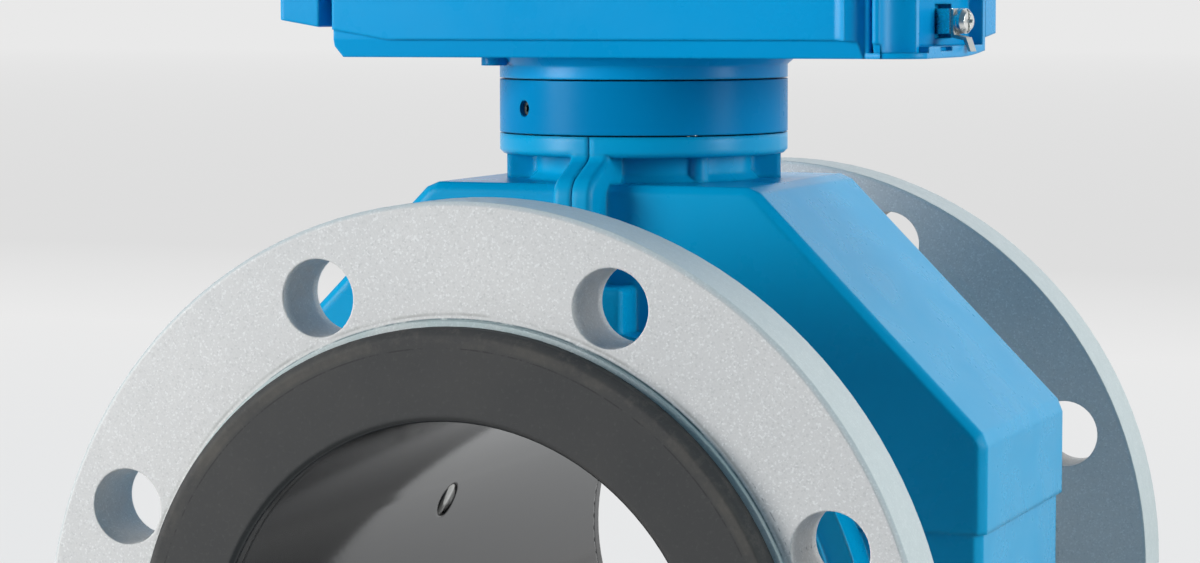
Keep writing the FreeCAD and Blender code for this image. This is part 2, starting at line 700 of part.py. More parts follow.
def half_shell(body, side):
    """One half of the housing, with its screw holes. The screws enter from -X."""
    keep = half_space(side, SEAM_GAP / 2)
    shell = body.common(keep)
    cutters = []
    for y, z in shell_screw_places():
        cutters.append(rod(SHELL_SCREW + 2 * SCREW_PLAY, V(-30, y, z), X_AXIS, 30 + PAD_WIDTH / 2 - 4))
        head_seat = -PAD_WIDTH / 2 + SHELL_SCREW_HEAD_HEIGHT + 0.5
        cutters.append(rod(SHELL_SCREW_HEAD + 1, V(-30, y, z), X_AXIS, 30 + head_seat))
    for x, y in neck_screw_places():
        cutters.append(rod(NECK_SCREW + 2 * SCREW_PLAY, V(x, y, LOWER_RING_TOP - NECK_SCREW_REACH - 0.3), Z_AXIS, 12))
    return shell.cut(cutters)


def shell_screws():
    solids = []
    seat = -PAD_WIDTH / 2 + SHELL_SCREW_HEAD_HEIGHT + 0.5
    for y, z in shell_screw_places():
        head = rod(SHELL_SCREW_HEAD, V(seat - SHELL_SCREW_HEAD_HEIGHT, y, z), X_AXIS, SHELL_SCREW_HEAD_HEIGHT)
        shank = rod(SHELL_SCREW, V(seat, y, z), X_AXIS, PAD_WIDTH / 2 - 5 - seat)
        solids.append(merge([head, shank]))
    return solids


def shell_gaskets(body):
    """The flat seals between the shells, set back a little from the outside of the seam."""
    slice_box = box(-SEAM_GAP / 2, SEAM_GAP / 2, -COLLAR_Y - 5, COLLAR_Y + 5, -SHELL_TOP - 5, LOWER_RING_BOTTOM - 0.5)
    section = body.common(slice_box)
    back = 1.2
    trim = prism_x([(-COLLAR_Y + back, -SHELL_TOP + back), (COLLAR_Y - back, -SHELL_TOP + back),
                    (COLLAR_Y - back, SHELL_TOP - 5), (NECK_R - back, SHELL_TOP + 5),
                    (NECK_R - back - 2, LOWER_RING_BOTTOM), (2 - NECK_R + back, LOWER_RING_BOTTOM),
                    (back - NECK_R, SHELL_TOP + 5), (back - COLLAR_Y, SHELL_TOP - 5)], -2, 2)
    section = section.common(trim)
    holes = [rod(SHELL_SCREW + 4, V(-5, y, z), X_AXIS, 10) for y, z in shell_screw_places()]
    section = section.cut(holes)
    return [solid for solid in section.Solids if solid.Volume > 1.0]


# ---- neck ---------------------------------------------------------------------------------
def neck_screw_places():
    radius = NECK_SCREW_CIRCLE / 2
    angles = [math.radians(360 / NECK_SCREW_COUNT * (i + 0.5)) for i in range(NECK_SCREW_COUNT)]
    return [(radius * math.cos(a), radius * math.sin(a)) for a in angles]


NECK_HEAD_DIAMETER = 7.0
NECK_HEAD_HEIGHT = 4.0
NECK_HEAD_SEAT = NECK_RING_TOP - NECK_HEAD_HEIGHT - 0.6


def lock_screw_line():
    angle = math.radians(LOCK_SCREW_ANGLE)
    return V(math.cos(angle), math.sin(angle), 0)


LOCK_SCREW_HEIGHT = (NECK_RING_BOTTOM + NECK_RING_TOP) / 2 - 0.5


def neck_ring():
    ring = pipe(NECK_DIAMETER, 2 * RUNNING_BORE_R, V(0, 0, NECK_RING_BOTTOM), Z_AXIS, NECK_RING_HEIGHT)
    cutters = []
    for x, y in neck_screw_places():
        cutters.append(rod(NECK_SCREW + 2 * SCREW_PLAY, V(x, y, NECK_RING_BOTTOM), Z_AXIS, 40))
        cutters.append(rod(NECK_HEAD_DIAMETER + 0.6, V(x, y, NECK_HEAD_SEAT), Z_AXIS, 40))
    line = lock_screw_line()
    start = V(line.x * 20, line.y * 20, LOCK_SCREW_HEIGHT)
    cutters.append(rod(LOCK_SCREW + 2 * SCREW_PLAY, start, line, 40))
    return ring.cut(cutters)


def neck_gasket():
    """A flat ring between the shells and the neck ring, inside the circle of screws."""
    outer = NECK_SCREW_CIRCLE - NECK_SCREW - 2
    return pipe(outer, NECK_BORE + 2, V(0, 0, LOWER_RING_TOP), Z_AXIS, NECK_GAP)


def neck_screws():
    solids = []
    for x, y in neck_screw_places():
        tip = LOWER_RING_TOP - NECK_SCREW_REACH
        shank = rod(NECK_SCREW, V(x, y, tip), Z_AXIS, NECK_HEAD_SEAT - tip)
        head = rod(NECK_HEAD_DIAMETER, V(x, y, NECK_HEAD_SEAT), Z_AXIS, NECK_HEAD_HEIGHT)
        solids.append(merge([shank, head]))
    return solids


def lock_screw():
    line = lock_screw_line()
    outer = NECK_R - LOCK_SCREW_DEPTH
    start = V(line.x * outer, line.y * outer, LOCK_SCREW_HEIGHT)
    inward = V(-line.x, -line.y, 0)
    body = rod(LOCK_SCREW, start, inward, LOCK_SCREW_LENGTH)
    socket = hexagon(LOCK_SCREW_SOCKET, start, inward, 2.5)
    tip_r = outer - LOCK_SCREW_LENGTH
    nose_length = tip_r - (SPIGOT_R - SPIGOT_GROOVE_DEPTH) - 0.3
    nose = rod(LOCK_SCREW - 1.5, V(line.x * tip_r, line.y * tip_r, LOCK_SCREW_HEIGHT), inward, nose_length)
    return merge([body, nose]).cut(socket)


# ---- transmitter housing ------------------------------------------------------------------
def entry_point(out, along, height):
    """A point on or off the entry wall: out from it, along it towards the rear, and its height."""
    d = ENTRY_DIRECTION
    return V(ENTRY_WALL_X + out * d.x - along * d.y, ENTRY_WALL_Y + out * d.y + along * d.x, height)


def entry_wall_end(y):
    """Where the entry wall's plane crosses a given y."""
    along = (y - ENTRY_WALL_Y) / ENTRY_DIRECTION.x
    return ENTRY_WALL_X - along * ENTRY_DIRECTION.y


RIM_FRONT = BODY_REAR - RIM_THICKNESS


def body_plan():
    """The outline of the transmitter housing seen from above."""
    panel_back = BODY_FRONT + PANEL_DEPTH
    e = BODY_EDGE
    b = e * (1 - math.sqrt(0.5))
    bead_middle = (BEAD_LEFT + BEAD_PEAK) / 2
    return [
        (BODY_LEFT + e, BODY_FRONT, BODY_LEFT + b, BODY_FRONT + b),
        (GROOVE_LEFT, BODY_FRONT),
        (GROOVE_LEFT, panel_back),
        (GROOVE_LEFT + GROOVE_WIDTH, panel_back),
        (GROOVE_LEFT + GROOVE_WIDTH, BODY_FRONT),
        (BEAD_LEFT, BODY_FRONT),
        (BEAD_PEAK, BODY_FRONT - BEAD_HEIGHT, bead_middle, BODY_FRONT - BEAD_HEIGHT * 0.35),
        (BEAD_RIGHT, BODY_FRONT + BEAD_FALL, BEAD_PEAK + 2.2, BODY_FRONT + 0.2),
        (SLIT_LEFT, BODY_FRONT + BEAD_FALL),
        (SLIT_LEFT, BODY_FRONT + SLIT_DEPTH),
        (SLIT_RIGHT, BODY_FRONT + SLIT_DEPTH),
        (SLIT_RIGHT, BODY_FRONT + 0.6),
        (BODY_CORNER, BODY_FRONT + 0.6, BODY_CORNER - 0.8, BODY_FRONT + 0.1),
        (FIN_RIGHT, FIN_BACK, BODY_CORNER + 2.9, FIN_BACK - 2.6),
        (FIN_RIGHT, FIN_BACK + FIN_THICKNESS),
        (RECESS_WALL, FIN_BACK + FIN_THICKNESS + 2),
        (RECESS_WALL, ENTRY_WALL_Y - (ENTRY_WALL_X - RECESS_WALL) / math.tan(math.radians(-ENTRY_WALL_ANGLE))),
        (entry_wall_end(RIM_FRONT), RIM_FRONT),
        (BODY_RIGHT, RIM_FRONT),
        (BODY_RIGHT, BODY_REAR),
        (BODY_LEFT, BODY_REAR),
        (BODY_LEFT, BODY_FRONT + e),
    ]


def parting_z(x):
    """The height of the front panel's bottom edge at x."""
    return PARTING_HEIGHT + max(0.0, PARTING_KNEE - x) * PARTING_SLOPE


def below_left_contour():
    """What the sloping left end of the housing leaves free underneath."""
    left = BODY_LEFT - 10
    return prism_y([
        (left, BODY_BOTTOM - 10), (FOOT_LEFT_BOTTOM, BODY_BOTTOM - 10), (FOOT_LEFT_BOTTOM, BODY_BOTTOM),
        (FOOT_LEFT_TOP, parting_z(FOOT_LEFT_TOP)), (left, parting_z(left)),
    ], BODY_FRONT - 10, BODY_REAR + 10)


def foot_inset():
    """The band below the front panel, leaning back towards its bottom edge."""
    left = BODY_LEFT - 10
    right = BODY_CORNER + 0.1
    z0 = BODY_BOTTOM - 1
    region = prism_y([
        (left, z0), (right, z0), (right, PARTING_HEIGHT - 1.2), (BEAD_LEFT, PARTING_HEIGHT),
        (PARTING_KNEE, PARTING_HEIGHT), (left, parting_z(left)),
    ], BODY_FRONT - 5, BODY_FRONT + 10)
    lean = (FOOT_INSET_BOTTOM - FOOT_INSET_TOP) / (PARTING_HEIGHT - BODY_BOTTOM)
    high = 20.0
    wedge = prism_x([
        (BODY_FRONT - 4, z0), (BODY_FRONT + FOOT_INSET_BOTTOM + lean, z0),
        (BODY_FRONT + FOOT_INSET_TOP, PARTING_HEIGHT), (BODY_FRONT + FOOT_INSET_TOP, PARTING_HEIGHT + high),
        (BODY_FRONT - 4, PARTING_HEIGHT + high),
    ], left - 5, right)
    return region.common(wedge)


def lip():
    """The edge plate under the recess: its outer face is the housing's right side."""
    root = RECESS_WALL - LIP_ROOT_DEPTH
    plan = [
        (root, FIN_BACK), (BODY_CORNER - 0.6, BODY_FRONT + 1.4),
        (BODY_RIGHT, BODY_FRONT + 9, BODY_CORNER + 7.2, BODY_FRONT + 3.2),
        (BODY_RIGHT, BODY_REAR), (root, BODY_REAR),
    ]
    plate = prism_z(plan, BODY_BOTTOM, LIP_LOW)
    raised = prism_z(plan, LIP_LOW - 0.1, LIP_HIGH)
    raised = raised.cut(box(root - 10, BODY_RIGHT + 10, BODY_FRONT - 5, LIP_STEP_Y, LIP_LOW - 1, LIP_HIGH + 1))
    slot_z = LIP_HIGH - LIP_SLOT_HEIGHT - 0.2
    slot = box(BODY_RIGHT - 2, BODY_RIGHT + 1, LIP_SLOT_FRONT, LIP_SLOT_FRONT + LIP_SLOT_LENGTH,
               slot_z, slot_z + LIP_SLOT_HEIGHT)
    slot = round_edges(slot, LIP_SLOT_HEIGHT / 2 - 0.01, lambda e: is_along(e, X_AXIS))
    return merge([plate, raised]).cut(slot)


def foot_rise():
    """The gentle upward curve of the lip's bottom edge towards the rear."""
    middle = (LIP_RISE_START + BODY_REAR) / 2
    return prism_x([
        (BODY_REAR + 1, BODY_BOTTOM - 3), (LIP_RISE_START, BODY_BOTTOM - 3), (LIP_RISE_START, BODY_BOTTOM),
        (BODY_REAR + 1, BODY_BOTTOM + LIP_RISE, middle, BODY_BOTTOM + LIP_RISE * 0.3),
    ], RECESS_WALL - 4, BODY_RIGHT + 1)


def spigot():
    """The neck end of the transmitter: flare, upper ring and the spigot that turns in the neck ring."""
    groove_z = LOCK_SCREW_HEIGHT
    half = LOCK_SCREW / 2 + 0.4
    deep = SPIGOT_R - SPIGOT_GROOVE_DEPTH
    oring_z = UPPER_RING_BOTTOM - ORING_DROP
    oring_half = ORING_THICKNESS / 2 + 0.15
    oring_deep = SPIGOT_R - ORING_THICKNESS + ORING_SQUEEZE
    low = UPPER_RING_BOTTOM - SPIGOT_LENGTH
    return lathe_z([
        (SPIGOT_BORE / 2, low),
        (SPIGOT_R, low),
        (SPIGOT_R, groove_z - half),
        (deep, groove_z - half),
        (deep, groove_z + half),
        (SPIGOT_R, groove_z + half),
        (SPIGOT_R, oring_z - oring_half),
        (oring_deep, oring_z - oring_half),
        (oring_deep, oring_z + oring_half),
        (SPIGOT_R, oring_z + oring_half),
        (SPIGOT_R, UPPER_RING_BOTTOM),
        (NECK_R, UPPER_RING_BOTTOM),
        (NECK_R, FLARE_BOTTOM),
        (NECK_R + NECK_FLARE, BODY_BOTTOM + 0.1),
        (NECK_R + NECK_FLARE, BODY_BOTTOM + 2),
        (SPIGOT_BORE / 2, BODY_BOTTOM + 2),
    ])


def spigot_oring():
    """The seal in the spigot's groove, a ring of square section."""
    half = ORING_THICKNESS / 2 - ORING_SQUEEZE
    low = UPPER_RING_BOTTOM - ORING_DROP - half
    return pipe(SPIGOT_DIAMETER, SPIGOT_DIAMETER - 4 * half, V(0, 0, low), Z_AXIS, 2 * half)


def transmitter_cavity():
    """The space for the electronics. A frame of wall is left round its opening at the rear."""
    front = BODY_FRONT + BODY_WALL
    back = BODY_FRONT + PANEL_DEPTH + BODY_WALL
    roof = BODY_TOP - BODY_WALL
    rear = BODY_REAR - OPENING_FRAME
    groove_right = GROOVE_LEFT + GROOVE_WIDTH
    middle = box(groove_right + BODY_WALL, BEAD_LEFT, front, rear, CAVITY_FLOOR_LEFT, roof)
    deep = box(PARTING_KNEE, BEAD_LEFT, front, rear, CAVITY_FLOOR, roof)
    wide = box(BODY_LEFT + BODY_WALL, RECESS_WALL - BODY_WALL, back, rear, CAVITY_FLOOR_LEFT, roof)
    opening = box(OPENING_LEFT, OPENING_RIGHT, rear - 1, BODY_REAR + 1, OPENING_BOTTOM, OPENING_TOP)
    return merge([middle, deep, wide, opening]).cut(screw_posts())


KNUCKLE_HALF = HINGE_KNUCKLE_LENGTH / 2


def housing_knuckles():
    """Two knuckles on the housing at each hinge, one above and one below the cover's knuckle."""
    solids = []
    ear = HINGE_KNUCKLE_LENGTH / 2
    for height in HINGE_HEIGHTS:
        for low in (height - KNUCKLE_HALF - HINGE_SIDE_PLAY - ear, height + KNUCKLE_HALF + HINGE_SIDE_PLAY):
            barrel = rod(HINGE_KNUCKLE, V(HINGE_X, HINGE_Y, low), Z_AXIS, ear)
            arm = box(HINGE_X - HINGE_KNUCKLE / 2, BODY_LEFT - HINGE_STANDOFF, BODY_REAR - 12, HINGE_Y, low, low + ear)
            root = box(HINGE_X, BODY_LEFT + 1, BODY_REAR - 12, BODY_REAR, low, low + ear)
            solids.append(merge([barrel, arm, root]))
    return solids


def hinge_bores():
    low = min(HINGE_HEIGHTS) - 40
    high = max(HINGE_HEIGHTS) + 40
    return rod(HINGE_PIN + 2 * HINGE_PLAY, V(HINGE_X, HINGE_Y, low), Z_AXIS, high - low)


def transmitter_housing():
    body = prism_z(body_plan(), BODY_BOTTOM, BODY_TOP)
    body = body.cut([below_left_contour(), foot_inset()])
    floor_cut = prism_z([
        (RECESS_WALL, FIN_BACK), (FIN_RIGHT + 10, FIN_BACK), (FIN_RIGHT + 10, BODY_REAR), (RECESS_WALL, BODY_REAR),
    ], BODY_BOTTOM - 1, LIP_LOW)
    body = body.cut(floor_cut)
    boss_z = FLARE_BOTTOM
    boss = rod(FOOT_BOSS_DIAMETER, V(FOOT_BOSS_X, FOOT_BOSS_Y, boss_z), Z_AXIS, BODY_BOTTOM + 1 - boss_z)
    body = merge([body, lip(), spigot(), boss] + housing_knuckles())
    cutters = [transmitter_cavity(), foot_rise(), hinge_bores(),
               rod(SPIGOT_BORE, V(0, 0, BODY_BOTTOM - 30), Z_AXIS, CAVITY_FLOOR - BODY_BOTTOM + 31)]
    for height in GLAND_HEIGHTS:
        cutters.append(rod(GLAND_THREAD + 2 * SCREW_PLAY, entry_point(-25, 0, height), ENTRY_DIRECTION, 40))
    cutters.append(strap_slot())
    cutters += cover_screw_holes()
    return body.cut(cutters)


# ---- cover --------------------------------------------------------------------------------
def cover_screw_places():
    """Where the cover screws stand: (x, z) of each."""
    inset = COVER_SCREW_INSET
    left = BODY_LEFT + inset
    right = BODY_RIGHT - inset - 2
    low = COVER_BOTTOM + 13
    high = BODY_TOP - inset
    return [(left, low), (right, low), (left, high), (right, high)]


COVER_SCREW_DEPTH = 8.0
POST_WIDTH = 13.0


def cover_screw_holes():
    depth = COVER_SCREW_DEPTH + 1
    return [rod(COVER_SCREW + 2 * SCREW_PLAY, V(x, BODY_REAR - depth, z), Y_AXIS, 20)
            for x, z in cover_screw_places()]


def screw_posts():
    """Solid posts in the cavity's corners that take the cover screws."""
    half = POST_WIDTH / 2
    return [box(x - half, x + half, BODY_REAR - COVER_SCREW_DEPTH - 4, BODY_REAR, z - half, z + half)
            for x, z in cover_screw_places()]


def cover_plan():
    e = COVER_EDGE
    b = e * (1 - math.sqrt(0.5))
    left = BODY_LEFT
    right = BODY_RIGHT
    rear = COVER_REAR
    return [
        (left, COVER_FRONT), (right, COVER_FRONT), (right, rear - e),
        (right - e, rear, right - b, rear - b), (left + e, rear),
        (left, rear - e, left + b, rear - b),
    ]


def cover_cavity():
    w = COVER_WALL
    return box(OPENING_LEFT, OPENING_RIGHT, COVER_FRONT - 1, COVER_REAR - w, OPENING_BOTTOM, OPENING_TOP)


def window_hole(grow, y0, y1):
    half_w = WINDOW_WIDTH / 2 + grow
    half_h = WINDOW_HEIGHT / 2 + grow
    hole = box(WINDOW_CENTRE_X - half_w, WINDOW_CENTRE_X + half_w, y0, y1,
               WINDOW_CENTRE_Z - half_h, WINDOW_CENTRE_Z + half_h)
    return round_edges(hole, 5.0 + grow, lambda e: is_along(e, Y_AXIS))


WINDOW_FRONT = COVER_REAR - COVER_WALL - WINDOW_THICKNESS


def cover():
    body = prism_z(cover_plan(), COVER_BOTTOM, BODY_TOP)
    body = body.cut(prism_x([
        (COVER_FRONT - 1, COVER_BOTTOM - 2), (COVER_REAR + 2, COVER_BOTTOM - 2),
        (COVER_REAR + 2, COVER_BOTTOM + COVER_BOTTOM_RISE), (COVER_FRONT, COVER_BOTTOM),
        (COVER_FRONT - 1, COVER_BOTTOM),
    ], BODY_LEFT - 5, BODY_RIGHT + 5))
    ribs = window_hole(8.0, COVER_REAR - COVER_WALL - 3, COVER_REAR - 1)
    body = body.cut(cover_cavity())
    knuckles = []
    for height in HINGE_HEIGHTS:
        low = height - KNUCKLE_HALF
        barrel = rod(HINGE_KNUCKLE, V(HINGE_X, HINGE_Y, low), Z_AXIS, HINGE_KNUCKLE_LENGTH)
        arm = box(HINGE_X, BODY_LEFT + 1, HINGE_Y, HINGE_Y + HINGE_KNUCKLE / 2, low, low + HINGE_KNUCKLE_LENGTH)
        knuckles.append(merge([barrel, arm]))
    body = merge([body, ribs] + knuckles)
    cutters = [window_hole(0.0, COVER_FRONT - 2, COVER_REAR + 1),
               window_hole(WINDOW_SEAT, COVER_FRONT - 2, COVER_REAR - COVER_WALL), hinge_bores(),
               frame_bar(GASKET_OUTSET - GASKET_PLAY, GASKET_WIDTH + 2 * GASKET_PLAY, COVER_FRONT - 1,
                         COVER_FRONT + GASKET_THICKNESS)]
    for x, z in cover_screw_places():
        cutters.append(rod(COVER_SCREW + 2 * SCREW_PLAY, V(x, COVER_FRONT - 1, z), Y_AXIS, 40))
        cutters.append(rod(COVER_SCREW_HEAD + 1, V(x, COVER_REAR - 5, z), Y_AXIS, 10))
    return body.cut(cutters)


def cover_screws():
    """Captive screws, drawn back so that the cover can open."""
    solids = []
    for x, z in cover_screw_places():
        seat = COVER_REAR - 5
        head = rod(COVER_SCREW_HEAD, V(x, seat, z), Y_AXIS, 4)
        slot = box(x - COVER_SCREW_HEAD, x + COVER_SCREW_HEAD, seat + 2.6, seat + 5, z - 0.6, z + 0.6)
        tip = COVER_FRONT + 0.2
        shank = rod(COVER_SCREW, V(x, tip, z), Y_AXIS, seat - tip)
        solids.append(merge([head, shank]).cut(slot))
    return solids


def window():
    return window_hole(WINDOW_SEAT - 0.2, WINDOW_FRONT, COVER_REAR - COVER_WALL)


def window_frame():
    """The frame that holds the window from inside."""
    y1 = WINDOW_FRONT
    y0 = y1 - FRAME_THICKNESS
    return window_hole(WINDOW_SEAT - 0.2, y0, y1).cut(window_hole(-2.0, y0 - 1, y1 + 1))


def frame_bar(outset, width, y0, y1):
    """A rectangular frame round the opening, its inner edge outset from the opening's edge."""
    outer = outset + width
    bar = box(OPENING_LEFT - outer, OPENING_RIGHT + outer, y0, y1, OPENING_BOTTOM - outer, OPENING_TOP + outer)
    hole = box(OPENING_LEFT - outset, OPENING_RIGHT + outset, y0 - 1, y1 + 1,
               OPENING_BOTTOM - outset, OPENING_TOP + outset)
    return bar.cut(hole)


def cover_gasket():
    """The seal in the cover's groove. It faces the frame round the housing's opening."""
    return frame_bar(GASKET_OUTSET, GASKET_WIDTH, COVER_FRONT, COVER_FRONT + GASKET_THICKNESS)


def hinge_pins():
    solids = []
    reach = KNUCKLE_HALF + HINGE_SIDE_PLAY + HINGE_KNUCKLE_LENGTH / 2
    for height in HINGE_HEIGHTS:
        solids.append(rod(HINGE_PIN, V(HINGE_X, HINGE_Y, height - reach), Z_AXIS, 2 * reach))
    return solids


# ---- electronics --------------------------------------------------------------------------
CARRIER_FRONT = BODY_FRONT + BODY_WALL + CARRIER_STANDOFF


def electronics_carrier():
    """A moulded tray that stands in the cavity, carries the board and holds the display."""
    x0 = GROOVE_LEFT + GROOVE_WIDTH + BODY_WALL + 1
    x1 = BEAD_LEFT - 1
    z0 = CAVITY_FLOOR_LEFT + 3
    z1 = BODY_TOP - BODY_WALL - 3
    y0 = CARRIER_FRONT
    tray = box(x0, x1, y0, y0 + CARRIER_THICKNESS, z0, z1)
    feet = []
    foot = CARRIER_FOOT
    for x in (x0, x1 - foot):
        for z in (z0, z1 - foot):
            feet.append(box(x, x + foot, BODY_FRONT + BODY_WALL, y0 + 1, z, z + foot))
    posts = []
    for sx in (-1, 1):
        for sz in (-1, 1):
            x = WINDOW_CENTRE_X + sx * (DISPLAY_WIDTH / 2 - CARRIER_POST_INSET)
            z = WINDOW_CENTRE_Z + sz * (DISPLAY_HEIGHT / 2 - CARRIER_POST_INSET)
            posts.append(rod(CARRIER_POST, V(x, y0 + 1, z), Y_AXIS, DISPLAY_FRONT - y0 - 1))
    return merge([tray] + feet + posts)


DISPLAY_FRONT = BODY_REAR - DISPLAY_THICKNESS - 2


def display_module():
    half_w = DISPLAY_WIDTH / 2
    half_h = DISPLAY_HEIGHT / 2
    case = box(WINDOW_CENTRE_X - half_w, WINDOW_CENTRE_X + half_w, DISPLAY_FRONT, DISPLAY_FRONT + DISPLAY_THICKNESS,
               WINDOW_CENTRE_Z - half_h, WINDOW_CENTRE_Z + half_h)
    case = round_edges(case, 3.0, lambda e: is_along(e, Y_AXIS))
    half_glass = DISPLAY_GLASS_WIDTH / 2
    glass = box(WINDOW_CENTRE_X - half_glass, WINDOW_CENTRE_X + half_glass,
                DISPLAY_FRONT + DISPLAY_THICKNESS - 1.0, DISPLAY_FRONT + DISPLAY_THICKNESS + 1,
                WINDOW_CENTRE_Z - DISPLAY_GLASS_DROP, WINDOW_CENTRE_Z + DISPLAY_GLASS_RISE)
    return case.cut(glass)


def main_board():
    y0 = CARRIER_FRONT - BOARD_THICKNESS
    x0 = GROOVE_LEFT + GROOVE_WIDTH + BODY_WALL + BOARD_INSET
    low = CAVITY_FLOOR_LEFT + BOARD_INSET
    parts = [box(x0, BEAD_LEFT - BOARD_INSET, y0, CARRIER_FRONT, low, BODY_TOP - BODY_WALL - BOARD_INSET)]
    for i in range(CHIP_COUNT):
        x = x0 + CHIP_START + CHIP_PITCH * i
        z = low + CHIP_RISE
        parts.append(box(x, x + CHIP_WIDTH, y0 - CHIP_HEIGHT, y0 + 0.5, z, z + CHIP_LENGTH))
    start = V(x0 + CAPACITOR_START, y0 - CAPACITOR_HEIGHT, low + CAPACITOR_RISE)
    parts.append(rod(CAPACITOR_DIAMETER, start, Y_AXIS, CAPACITOR_HEIGHT + 0.5))
    return merge(parts)


def terminal_blocks():
    """Screw terminals on the carrier below the display."""
    y0 = CARRIER_FRONT + CARRIER_THICKNESS
    low = OPENING_BOTTOM + 1
    step = low + TERMINAL_BLOCK_STEP
    top = low + TERMINAL_BLOCK_HEIGHT
    profile = [
        (y0, low), (y0 + TERMINAL_BLOCK_DEPTH, low), (y0 + TERMINAL_BLOCK_DEPTH, step),
        (y0 + TERMINAL_BLOCK_TOP_DEPTH, top), (y0, top),
    ]
    solids = []
    for i in range(TERMINAL_BLOCK_COUNT):
        x0 = TERMINAL_BLOCK_LEFT + i * (TERMINAL_BLOCK_LENGTH + TERMINAL_BLOCK_GAP)
        solids.append(prism_x(profile, x0, x0 + TERMINAL_BLOCK_LENGTH))
    return solids


# ---- cable glands -------------------------------------------------------------------------
def gland_bodies():
    """Threaded from end to end, with a hexagonal collar that seats on the wall."""
    solids = []
    front = GLAND_HEX_HEIGHT + GLAND_NOSE
    for height in GLAND_HEIGHTS:
        thread = rod(GLAND_THREAD, entry_point(-GLAND_BACK_LENGTH, 0, height), ENTRY_DIRECTION,
                     GLAND_BACK_LENGTH + front)
        collar_hex = hexagon(GLAND_HEX, entry_point(0.1, 0, height), ENTRY_DIRECTION, GLAND_HEX_HEIGHT - 0.1)
        bore = rod(GLAND_BORE, entry_point(-GLAND_BACK_LENGTH, 0, height), ENTRY_DIRECTION, GLAND_BACK_LENGTH + front)
        solids.append(merge([thread, collar_hex]).cut(bore))
    return solids


def gland_nuts():
    """Hexagonal nuts on the gland bodies, closed in front but for the cable's way in."""
    solids = []
    start = GLAND_HEX_HEIGHT + GLAND_NUT_GAP
    for height in GLAND_HEIGHTS:
        nut = hexagon(GLAND_HEX - 0.5, entry_point(start, 0, height), ENTRY_DIRECTION, GLAND_NUT_HEIGHT)
        wide = rod(GLAND_THREAD + 2 * SCREW_PLAY, entry_point(start, 0, height), ENTRY_DIRECTION,
                   GLAND_NOSE + GLAND_NUT_GAP)
        mouth = rod(GLAND_BORE, entry_point(start, 0, height), ENTRY_DIRECTION, GLAND_NUT_HEIGHT)
        solids.append(nut.cut([wide, mouth]))
    return solids


def gland_seals():
    """A rubber bush in each gland, pierced for the cable or its plug."""
    start = GLAND_HEX_HEIGHT - GLAND_SEAL_LENGTH / 2
    return [pipe(GLAND_BORE - SCREW_PLAY, GLAND_CABLE, entry_point(start, 0, height), ENTRY_DIRECTION,
                 GLAND_SEAL_LENGTH) for height in GLAND_HEIGHTS]


def gland_plugs():
    """Blanking pins in the seals, each with a round head outside the nut."""
    solids = []
    face = GLAND_HEX_HEIGHT + GLAND_NUT_GAP + GLAND_NUT_HEIGHT + 0.05
    start = GLAND_HEX_HEIGHT - GLAND_SEAL_LENGTH / 2
    for height in GLAND_HEIGHTS:
        pin = rod(GLAND_CABLE - SCREW_PLAY, entry_point(start, 0, height), ENTRY_DIRECTION, face - start)
        head = rod(GLAND_PLUG_HEAD, entry_point(face, 0, height), ENTRY_DIRECTION, 1.6)
        solids.append(merge([pin, head]))
    return solids


# ---- ground terminal ----------------------------------------------------------------------
def on_entry_wall(shape):
    """Move a shape from its own frame (X out of the wall, Y along it) to the entry wall."""
    copy = shape.copy()
    copy.rotate(V(0, 0, 0), Z_AXIS, ENTRY_WALL_ANGLE)
    copy.translate(V(ENTRY_WALL_X, ENTRY_WALL_Y, TERMINAL_HEIGHT))
    return copy


def strap_slot():
    half_w = STRAP_WIDTH / 2 + STRAP_SLOT_PLAY / 2
    half_h = STRAP_HEIGHT / 2 + STRAP_SLOT_PLAY
    return on_entry_wall(box(-STRAP_DEPTH - 0.5, 5, -half_w, half_w, -half_h, half_h))


def ground_bracket():
    """A U-shaped strap. Its legs sit in the wall's slot and the screw is tapped into its web."""
    half_w = STRAP_WIDTH / 2
    half_h = STRAP_HEIGHT / 2
    outer = box(-STRAP_DEPTH - 0.5, STRAP_REACH, -half_w, half_w, -half_h, half_h)
    outer = round_edges(outer, 1.2, lambda e: is_along(e, Z_AXIS) and e.CenterOfMass.x > 0)
    s = STRAP_SHEET
    inner = box(-STRAP_DEPTH - 1.5, STRAP_REACH - s, -half_w + s, half_w - s, -half_h - 1, half_h + 1)
    hole = rod(GROUND_SCREW + 2 * SCREW_PLAY, V(-10, 0, 0), X_AXIS, 30)
    return on_entry_wall(outer.cut([inner, hole]))


def ground_clamp():
    """The clamp plate between bracket and washer, with a tongue that hangs out and away from the wall."""
    half = STRAP_HEIGHT / 2
    x0 = STRAP_REACH + 0.05
    t = CLAMP_SHEET
    plate = box(x0, x0 + t, -STRAP_WIDTH / 2, STRAP_WIDTH / 2, -half + 0.4, half - 0.2)
    bend = -WASHER_DIAMETER / 2 - 0.15
    knee = bend - 0.8
    out = x0 + TONGUE_OUT
    end = out + TONGUE_LEAN
    low = knee - TONGUE_DROP
    tongue = prism_y([
        (x0, 1 - half), (x0, bend - t), (out - t, knee - t), (end - t, low), (end, low), (out, knee),
        (x0 + t, bend), (x0 + t, 1 - half),
    ], TONGUE_SHIFT - TONGUE_WIDTH / 2, TONGUE_SHIFT + TONGUE_WIDTH / 2)
    hole = rod(GROUND_SCREW + 2 * SCREW_PLAY, V(-10, 0, 0), X_AXIS, 30)
    return on_entry_wall(merge([plate, tongue]).cut(hole))


def ground_washer():
    x0 = STRAP_REACH + 0.05 + CLAMP_SHEET + 0.02
    return on_entry_wall(pipe(WASHER_DIAMETER, GROUND_SCREW + 2 * SCREW_PLAY, V(x0, 0, 0), X_AXIS, WASHER_THICKNESS))


